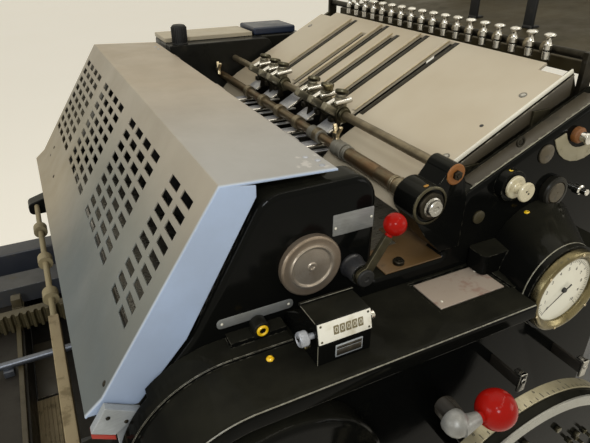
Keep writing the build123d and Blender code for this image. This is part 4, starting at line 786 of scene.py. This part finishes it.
FRONT_ROD = (192, 1005)
REAR_ROD = (232, 1046)
hub = [(21.7, 0), (21.7, 3.6), (20.6, 5.4), (18, 6.4), (13, 7), (12, 6.4)]
hub_nut = [(15, 0), (15, 2), (13.4, 2.8), (12.6, 3.2), (12.6, 8.4), (11, 10), (5, 10.2), (4, 9.4)]
put("rod_hub_rim", olive, turned([(30, 0), (30, 1), (28.6, 2), (26, 2.2), (26, 0), (30, 0)], 56),
    front(*FRONT_ROD, -460.9), slot="rust_steel")
put("rod_hub_collar", dark_metal, turned(hub, 56), front(*FRONT_ROD, -461))
put("rod_hub_nut", steel, turned(hub_nut, 40), front(*FRONT_ROD, -465.8), slot="bright_chrome")
put("rod_hub_mark", ochre_mark, brick(8, 5, 0.7, 0.2, 2.2), facing((186, -455, 1034.6), (-0.2, 0, 0.98)))
put("rod_eye_washer", rusty, turned([(6, 0), (16, 0), (16, 1.4), (14.6, 2.4), (6, 2.4), (6, 0)], 40),
    front(*REAR_ROD, -460.9))
put("rod_eye_nut", dark_metal, hexagon(13, 5), front(*REAR_ROD, -463),
    turned([(3.4, 0), (3.4, 2), (0, 2.4)], 20), front(*REAR_ROD, -468))


# Rods, their collars and clamps

def rod(name, place, profile, material, node):
    """Rod across the press from radius and Y pairs, in place of the plain one."""
    line = [(radius, -y) for radius, y in profile]
    put(name, material, turned(line, 40), front(*place, 0), slot="rust_steel", replaces=[node])


rod("front_rod_turned", FRONT_ROD, [(8.4, 414.6), (9.4, 413.6), (9.4, -190), (8.8, -190), (8.8, -194), (9.4, -194),
    (9.4, -228), (12, -228), (12.4, -229), (12.4, -330), (11.8, -331), (11.8, -334), (12.4, -335), (12.4, -384),
    (11.6, -385), (9.4, -385), (9.4, -464), (8.4, -465)], brown_rod, "guide_rod_front")
rod("rear_rod_turned", REAR_ROD, [(7, 414.6), (7.8, 413.8), (7.8, -150), (8.2, -151), (8.2, -412), (6.9, -413),
    (6.9, -461), (6.2, -462)], patina, "guide_rod_rear")
put("front_rod_collars", worn_grey, collar(13.4, 9.2, 40), front(*FRONT_ROD, -125),
    collar(15, 9.2, 32), front(*FRONT_ROD, -214), collar(14, 9.2, 10), front(*FRONT_ROD, -238))
put("front_rod_brown_collars", patina, collar(15.4, 11.8, 20), front(*FRONT_ROD, -398),
    collar(14, 12.2, 8), front(*FRONT_ROD, -378))

CLAMPS = (-141, -86, -31, 114, 159, 214)
pin = [(4.2, 0), (5.2, 1), (5.2, 34), (4.2, 35)]
thumb = [(4.4, 0), (4.4, 9), (11.6, 10), (13.2, 11.8), (13.2, 16), (11.6, 17.8), (4, 18.2), (3, 16.6)]
put("rear_rod_rings", olive, collar(16, 7.6, 24), [front(*REAR_ROD, y) for y in CLAMPS],
    collar(13, 7.6, 8), [front(*REAR_ROD, y - 17) for y in CLAMPS], slot="bright_chrome")
put("rear_rod_blocks", nickel, brick(20, 18, 30, 3), [top(232, y, 1046.5) for y in CLAMPS],
    brick(17, 15, 36, 2.6), [facing((226, y, 1046), (-0.85, 0, 0.52), (0, 1, 0)) for y in CLAMPS],
    hexagon(17, 7), [top(232, y, 1075) for y in CLAMPS],
    turned([(6, 0), (6, 14), (5, 16)], 24), [top(212, y + 12, 1050) for y in CLAMPS[1::2]])
put("rear_rod_pins", chrome, turned(pin, 20), [facing((216, y - 9, 1068), (1, 0, 0.12), (0, 1, 0)) for y in CLAMPS],
    turned(pin, 20), [facing((204, y + 8, 1060), (0.9, 0, 0.42), (0, 1, 0)) for y in CLAMPS],
    replaces=["guide_clamps"])
put("rear_rod_thumb_screws", olive, turned(thumb, 28),
    [facing((234, y + 2, 1072), (0.3, 0.25, 0.92)) for y in CLAMPS])
put("rear_rod_fins", dark_metal, prism([(-8, 4), (8, 4), (6, 14), (3, 32), (-3, 32)], 3.4, 0.6),
    [front(224, 1012, y - 4) for y in CLAMPS], brick(16, 14, 10, 2), [top(219, y + 4, 1030) for y in CLAMPS])
put("rear_rod_hexagon", brass, hexagon(18, 12), top(232, -94, 1078))

WINGS = ((192, -196, 1014), (176, 396, 1012))
wings = [facing((x, y - 12 * lean, z - 1), (0.1, lean, 1)) for x, y, z in WINGS for lean in (-0.62, 0.62)]
put("front_rod_wing_nuts", cream_metal, turned([(4, 0), (4, 9), (6.4, 10), (6.4, 18), (0, 19)], 20),
    [top(*spot) for spot in WINGS], brick(8, 5.4, 36, 1.8), wings)


# Sheet fingers

def bar(radius, length):
    """Round bar with rounded ends."""
    return turned([(radius - 0.6, 0), (radius, 0.6), (radius, length - 0.6), (radius - 0.6, length)], 20)


FINGERS = [-133 + number * 88 for number in range(5)]
put("finger_blades", finger_steel, brick(50, 24, 2.2, 0.6), [top(161, y + 1, 990.8) for y in FINGERS],
    brick(122, 9, 2, 0.6), [top(199, y - 24, 984) for y in FINGERS],
    brick(42, 44, 2.2, 0.6), [facing((226, y + 14, 1019), (-0.48, 0, 0.88), (0.88, 0, 0.48)) for y in FINGERS],
    replaces=["gripper_fingers"])
put("finger_edges", chrome,
    bar(2.6, 42), [facing((207.5, y - 9, 1010.5), (0.88, 0, 0.48), (0, 1, 0)) for y in FINGERS],
    bar(3.2, 126), [end(136, y - 12.6, 990.8) for y in FINGERS],
    bar(2.2, 126), [end(136, y - 24.6, 984.2) for y in FINGERS])
put("finger_saddles", patina, collar(14, 9.2, 16), [front(*FRONT_ROD, y) for y in FINGERS],
    brick(16, 14, 12, 1.2), [top(192, y, 991) for y in FINGERS])


# Knob rail

KNOBS = [-339 + number * 635 / 17 for number in range(18)]
knob = [(6.6, 0), (7.2, 0.6), (7.2, 13.2), (6, 13.8), (6, 15), (7.2, 15.6), (7.2, 24), (5.6, 25), (4.8, 26.6),
        (4.8, 34), (5.4, 36), (9, 37.2), (10, 38.6), (10, 40.2), (8.4, 42.2), (5, 43.6), (0, 44)]
put("rail_knobs_turned", chrome, turned(knob, 28), [top(517, y, 1156) for y in KNOBS], replaces=["rail_knobs"])
put("rail_knob_bands", dark_metal, turned([(5, 0), (7.5, 0), (7.5, 2.2), (5, 2.2), (5, 0)], 24),
    [top(517, y, 1170) for y in KNOBS])
put("rail_shaft_collars", patina, collar(10.6, 6.8, 11), [front(531.5, 1172, y + 15) for y in KNOBS])


# Lay plate's strips, screws and edges

def on_slope(x, y, lift=0):
    """Frame on the lay plate's long slope: its X uphill and its Z off the plate."""
    uphill = Vector((0.8875, 0, 0.4608))
    off = Vector((-0.4608, 0, 0.8875))
    return facing(Vector((x, y, 1033 + (x - 273) * 121 / 233)) + off * lift, off, uphill)


# The dark sheets beside each slot are a painted shadow of the strip over the slot
strips = {"lay_slot_shadows": [], "lay_strips": [], "lay_strip_edges": []}
for y, stop in zip((-126, -34, 45, 112, 141, 240), (504.5, 504.5, 486, 504.5, 466, 498)):
    length = (stop - 278) / 0.8875 - 6
    middle = (stop + 278) / 2
    strips["lay_slot_shadows"] += [brick(length, 13, 0.5, 0.15), on_slope(middle, y - 13.5)]
    strips["lay_strips"] += [brick(length, 10, 1.6, 0.5), on_slope(middle, y + 13.5, 0.1)]
    strips["lay_strip_edges"] += [brick(length, 3, 3, 0.9), on_slope(middle, y + 8)]
for (name, parts), material in zip(strips.items(), (dark_metal, sheet, cream_metal)):
    put(name, material, *parts)
SCREWS = ((281, -385), (431, -381), (300, 372), (440, 372))
put("lay_plate_screws", steel, dome(4.2, 1.6), [on_slope(x, y, 0.6) for x, y in SCREWS])
put("lay_plate_washers", worn_grey, turned([(6.6, 0), (6.6, 0.5), (5.6, 0.8)], 28),
    [on_slope(x, y) for x, y in SCREWS])
put("lay_plate_hole", ink, disc(3.4, 0.3), on_slope(353, -379))
put("lay_plate_near_edge", pale_print, brick(262, 3.6, 7.6, 1.4), on_slope(389.5, -404.4, -6.8))
put("lay_plate_apron", dusty_iron, prism([(276, 1008), (506, 1111), (506, 1146), (276, 1026)], 2, 0.3),
    front(0, 0, -408))


# Top of the table's frame

slope_top = facing((404, -435, 1064.3), (-0.4093, 0, 0.9124), (0.9124, 0, 0.4093))
put("frame_top_strip", dusty_iron, brick(262, 27, 1.4, 0.6), slope_top,
    brick(150, 27, 1.4, 0.6), top(640, -435, 1125))
# Thin pale strip on the frame's top front edge: a painted highlight
put("frame_top_edge_highlight", highlight_edge, brick(276, 1.5, 1.5, 0.5), slope_top @ Matrix.Translation((0, -14.2, -0.4)))


# Gauge

GAUGE = (382, 867)
DIAL = -571.4
bezel = [(59.2, 0), (70, 0), (70, 8.4), (69.2, 10.8), (67, 12.4), (64.4, 13), (61.6, 12.2), (59.4, 9.4), (57, 8.2),
         (55.8, 6.8), (55.6, 3.5), (59.2, 3.5), (59.2, 0)]


def around(centre, radius, turn, y):
    """Frame on a wall that faces the operator, off a centre by a radius and an angle."""
    return front(centre[0] + radius * cos(turn), centre[1] + radius * sin(turn), y)


def on_dial(turn, radius, lift=0):
    """Frame on the dial at an angle and radius, with its Y pointing outwards."""
    at = around(GAUGE, radius, turn, DIAL - lift).translation
    return facing(at, (0, -1, 0), (sin(turn), 0, -cos(turn)))


put("gauge_bezel_turned", brass, turned(bezel, 96), front(*GAUGE, -568.3), angle=30, replaces=["gauge_bezel"])
put("gauge_bezel_screws", cream_metal, dome(2.4, 1.6, 18),
    [around(GAUGE, 65.6, radians(22 + 60 * number), -580.6) for number in range(6)], slot="brass_ring")
# Thin pale ring round the gauge barrel's rim: a painted highlight
put("gauge_barrel_highlight_ring", highlight_edge, turned([(73.6, 0), (74.6, 0), (74.6, 1.6), (73.6, 1.6), (73.6, 0)], 96),
    front(*GAUGE, -557))
ticks = []
for number in range(51):
    width, length = (0.5, 4) if number % 5 else (0.9, 7)
    ticks += [brick(width, length, 0.25), on_dial(radians(225 - 5.4 * number), 52 - length / 2)]
for number in range(11):
    ticks += [figures(str(number), 8), around(GAUGE, 38, radians(225 - 27 * number), DIAL)]
put("gauge_marks", ink, *ticks)
put("gauge_pointer", ink, prism([(-1.9, -14), (1.9, -14), (0.9, 6), (0.35, 46), (-0.35, 46), (-0.9, 6)], 0.6),
    on_dial(radians(216), 0, 3), turned([(4.2, 0), (4.2, 3.2), (3.2, 4.2), (0, 4.4)], 28),
    front(*GAUGE, -571.3))


# Control drum

def on_band(turn, y):
    """Frame on the drum's band: its Z outwards and its X along the drum's axis."""
    out = Vector((cos(turn), 0, sin(turn)))
    return facing(Vector((DRUM[0], y, DRUM[1])) + out * 199, out, (0, -1, 0))


marks = []
for number in range(120):
    length = 4.5 if number % 5 else 8
    marks += [brick(length, 0.9, 0.2), on_band(radians(3 * number), -677.5 + length / 2)]
for number in range(24):
    at = on_band(radians(15 * number + 1.6), -664.5)
    marks += [figures(str(number), 7), at @ Matrix.Rotation(radians(90), 4, "Z")]
put("drum_marks", ink, *marks)
put("drum_hub", dark_metal, turned([(52, 0), (52, 4), (48, 7), (34, 7.6), (33, 10)], 64), front(*DRUM, DRUM_FACE))
put("drum_studs", olive, hexagon(30, 5.4), front(*DRUM, -690.8),
    hexagon(9, 6), [around(DRUM, 128, radians(30 * number + 9), DRUM_FACE) for number in range(12)],
    turned([(4.4, 0), (4.4, 4), (2.4, 5), (2.4, 13), (0, 13.6)], 20),
    [front(x, z, DRUM_FACE) for x, z in ((341, 678), (356, 685), (325, 680))])
ARMS = ((296, 736), (452, 697))
put("drum_index_arms", black_iron, brick(5, 62, 20, 0.8), [top(x, -571, z - 10) for x, z in ARMS])
put("drum_index_clips", steel, brick(14, 5, 34, 0.8), [top(x + 4, -600, z - 17) for x, z in ARMS],
    brick(10, 16, 4, 0.8), [top(x + 4, -594, z + 13) for x, z in ARMS],
    dome(4.4, 3, 20), [front(x + 4, z + 4, -602.4) for x, z in ARMS])


# Screws of the interlock and of the guard

put("interlock_screws", dark_metal, dome(2.8, 1.8, 20), [front(-285, 823, -467.3), front(-265, 807, -467.3)])
GUARD_SCREWS = ((21, -402), (28, -435), (31, -418), (24, 398), (24, 430))
put("guard_top_screws", knurled, dome(4, 2), [top(x, y, 1088.2) for x, y in GUARD_SCREWS], body="guard", slot="steel")
GUARD_BOLTS = ((-274, 402, 856), (-262, 402, 875), (-279, 276, 850), (-279, -436, 850))
put("guard_edge_bolts", dark_metal, dome(4.2, 2.6), [facing(spot, (-0.838, 0, 0.545)) for spot in GUARD_BOLTS],
    body="guard")


# Right part of the side frame's face

SOCKET = (455, 971)
SIDE_KNOB = (483, 1064)
SCREW = (358, 1072)
put("frame_socket", enamel_dull, turned([(27, 0), (27, 10), (24.4, 13), (19.4, 13.6), (18.6, 11.6)], 56),
    front(*SOCKET))
put("frame_socket_disc", dim_brown, turned([(18, 0), (18, 1.6), (16.6, 2.6), (2, 2.8), (1.4, 2.2)]),
    front(*SOCKET, -466.4))
put("frame_rusty_knob", rusty, turned([(13, 0), (13, 8), (11, 10.4), (9, 10.8), (8, 12.6), (0, 13)], 40),
    front(*SIDE_KNOB))
put("frame_knob_end", chrome, turned([(8, 0), (8, 9), (9.6, 10), (9.6, 14), (6, 15.4), (0, 15.6)], 32),
    front(*SIDE_KNOB, -466))
put("frame_chrome_plug", chrome, turned([(9, 0), (9, 6), (6, 8), (6, 18), (4.6, 19.4), (0, 19.6)], 32),
    front(527, 958))
put("frame_screw_ring", dark_metal, turned([(5.4, 0), (9, 0), (9, 1.2), (7.8, 2.2), (5.4, 1.6), (5.4, 0)], 36),
    front(*SCREW), slot="bright_chrome")
put("frame_screw", dark_metal, dome(5.2, 1.6), front(*SCREW))
# Low dim disc on the frame's face whose grey-brown tone is a painted reflection on the enamel
put("frame_reflection_boss", dim_brown, turned([(16, 0), (16, 2.4), (13, 4.2), (0, 5)], 40), front(422, 1041))
put("frame_brown_plug", dim_olive, turned([(11, 0), (11, 3), (8, 4), (0, 4.4)], 32), front(299, 958))
arc = [(46 * cos(radians(a)), 46 * sin(radians(a))) for a in range(200, 341, 14)]
arc += [(70 * cos(radians(a)), 70 * sin(radians(a))) for a in range(340, 199, -14)]
put("frame_arc_plate", arc_card, prism(arc, 2.4, 0.5), front(500, 1086))

ADJUSTER = (346, 1007)
knob = [(17.2, 0), (18.4, 1), (18.4, 4.4), (17.2, 5.8), (9, 6.2), (7.4, 8), (7.2, 18), (8.4, 20), (14.2, 20.4),
        (15.5, 21.6), (15.5, 24.6), (14.4, 26), (4, 26), (3, 25.2)]
put("adjusting_boss_rim", enamel, turned([(19.6, 0), (24, 0), (24, 3), (22.6, 4.4), (19.6, 4.4), (19.6, 0)]),
    front(*ADJUSTER, -461))
put("adjusting_knob_turned", ivory, turned(knob, 56), front(*ADJUSTER, -470.9), body="adjuster", angle=26,
    replaces=["adjusting_knob"])
put("adjusting_knob_holes", ink, disc(1.5, 0.3, 16), [front(343.6, 1009.4, -496.8), front(349, 1004.8, -496.8)],
    body="adjuster")


# Brown worn plate in the dip of the side frame

shelf = [(132, -453), (239, -453), (239, -414), (292, -414), (292, -335), (200, -335), (200, -388), (132, -388)]
put("dip_worn_plate", ochre, prism(shelf, 2.6, 0.8), top(0, 0, 898.2))
put("dip_plate_nut", dark_metal, turned([(9, 0), (9, 5), (7.6, 6.4), (5, 6.6), (5, 9), (0, 9.4)], 28),
    top(166, -438, 900.6))


# Painted highlight lines on the control case's rounded edges

corner_at = front(-130, 724, 0)
# Thin pale strips on the case's arches and lips: a painted highlight
put("case_edge_highlights", highlight_edge, bent(147.95, 583.95, 1.7, 0.25, radians(90), radians(84)), corner_at,
    brick(438, 1.7, 0.25), facing((89, -583.9, 871.9), (0, -1, 1)),
    bent(154.5, 497.5, 1.7, 0.3, radians(90), radians(78)), corner_at,
    brick(84, 1.7, 0.3), facing((-87, -497.4, 878.5), (0, -1, 1)))


# Tray, oil pipe and small plates between the base walls

TRAY = 452
PLATES = 454.2
BRACKETS = 540.4
put("base_tray_sheet", black_iron, brick(476, 700, 2, 0.4), top(-179, 0, TRAY),
    brick(476, 3, 60, 0.6), [top(-179, -352, TRAY), top(-179, 352, TRAY)])
put("base_ribbed_plate", strip, brick(60, 150, 4, 0.8), top(-396, -78, PLATES),
    brick(3.2, 146, 3, 1), [top(-423 + number * 7.7, -78, 457.8) for number in range(8)])
put("base_plain_plate", dusty_iron, brick(58, 190, 3, 0.8), top(-386, 100, PLATES))
put("base_cross_bar", rack_olive, brick(10, 560, 14, 1.2), top(-427, -40, BRACKETS),
    brick(26, 70, 22, 2), top(-424, 205, BRACKETS), brick(22, 24, 46, 2), top(-424, 226, BRACKETS))
put("base_oil_pipe", blued_steel, turned([(7, 0), (8, 1), (8, 899), (7, 900)], 28),
    end(-815, 16, 562), brick(20, 30, 15, 1.6), [top(x, 16, BRACKETS) for x in (-790, -450, 82)])


# Hold-down bar with two straps over the feed board

put("board_bar", dark_metal, turned([(7, 0), (8, 1), (8, 829), (7, 830)], 24),
    facing((684, -415, 1292), (0, 1, 0)), slot="black_enamel")
put("board_bar_posts", enamel_dull, brick(30, 10, 176, 2), [top(684, -407, 1128), top(684, 399, 1128)])
STRAPS = (-148, 14)
put("board_straps", rubber, brick(30, 12, 26, 3), [top(684, y, 1280) for y in STRAPS],
    brick(7, 25, 122, 2), [top(682, y, 1168) for y in STRAPS],
    brick(26, 25, 7, 2.4), [top(690, y, 1167.6) for y in STRAPS])


# Drive side's cap knob

put("cap_knob_turned", rubber, turned([(20, 0), (20, 3), (18.6, 4), (18.6, 40), (17.4, 45), (14, 47.4), (0, 48)]),
    top(90, 435, 1090.2), replaces=["drive_cap_knob"])
ribs = [tau * number / 24 for number in range(24)]
put("cap_knob_ribs", rubber, brick(1.6, 2.6, 38, 0.5), [top(90 + 18.8 * cos(turn), 435 + 18.8 * sin(turn), 1094.2)
    @ Matrix.Rotation(turn + pi / 2, 4, "Z") for turn in ribs])
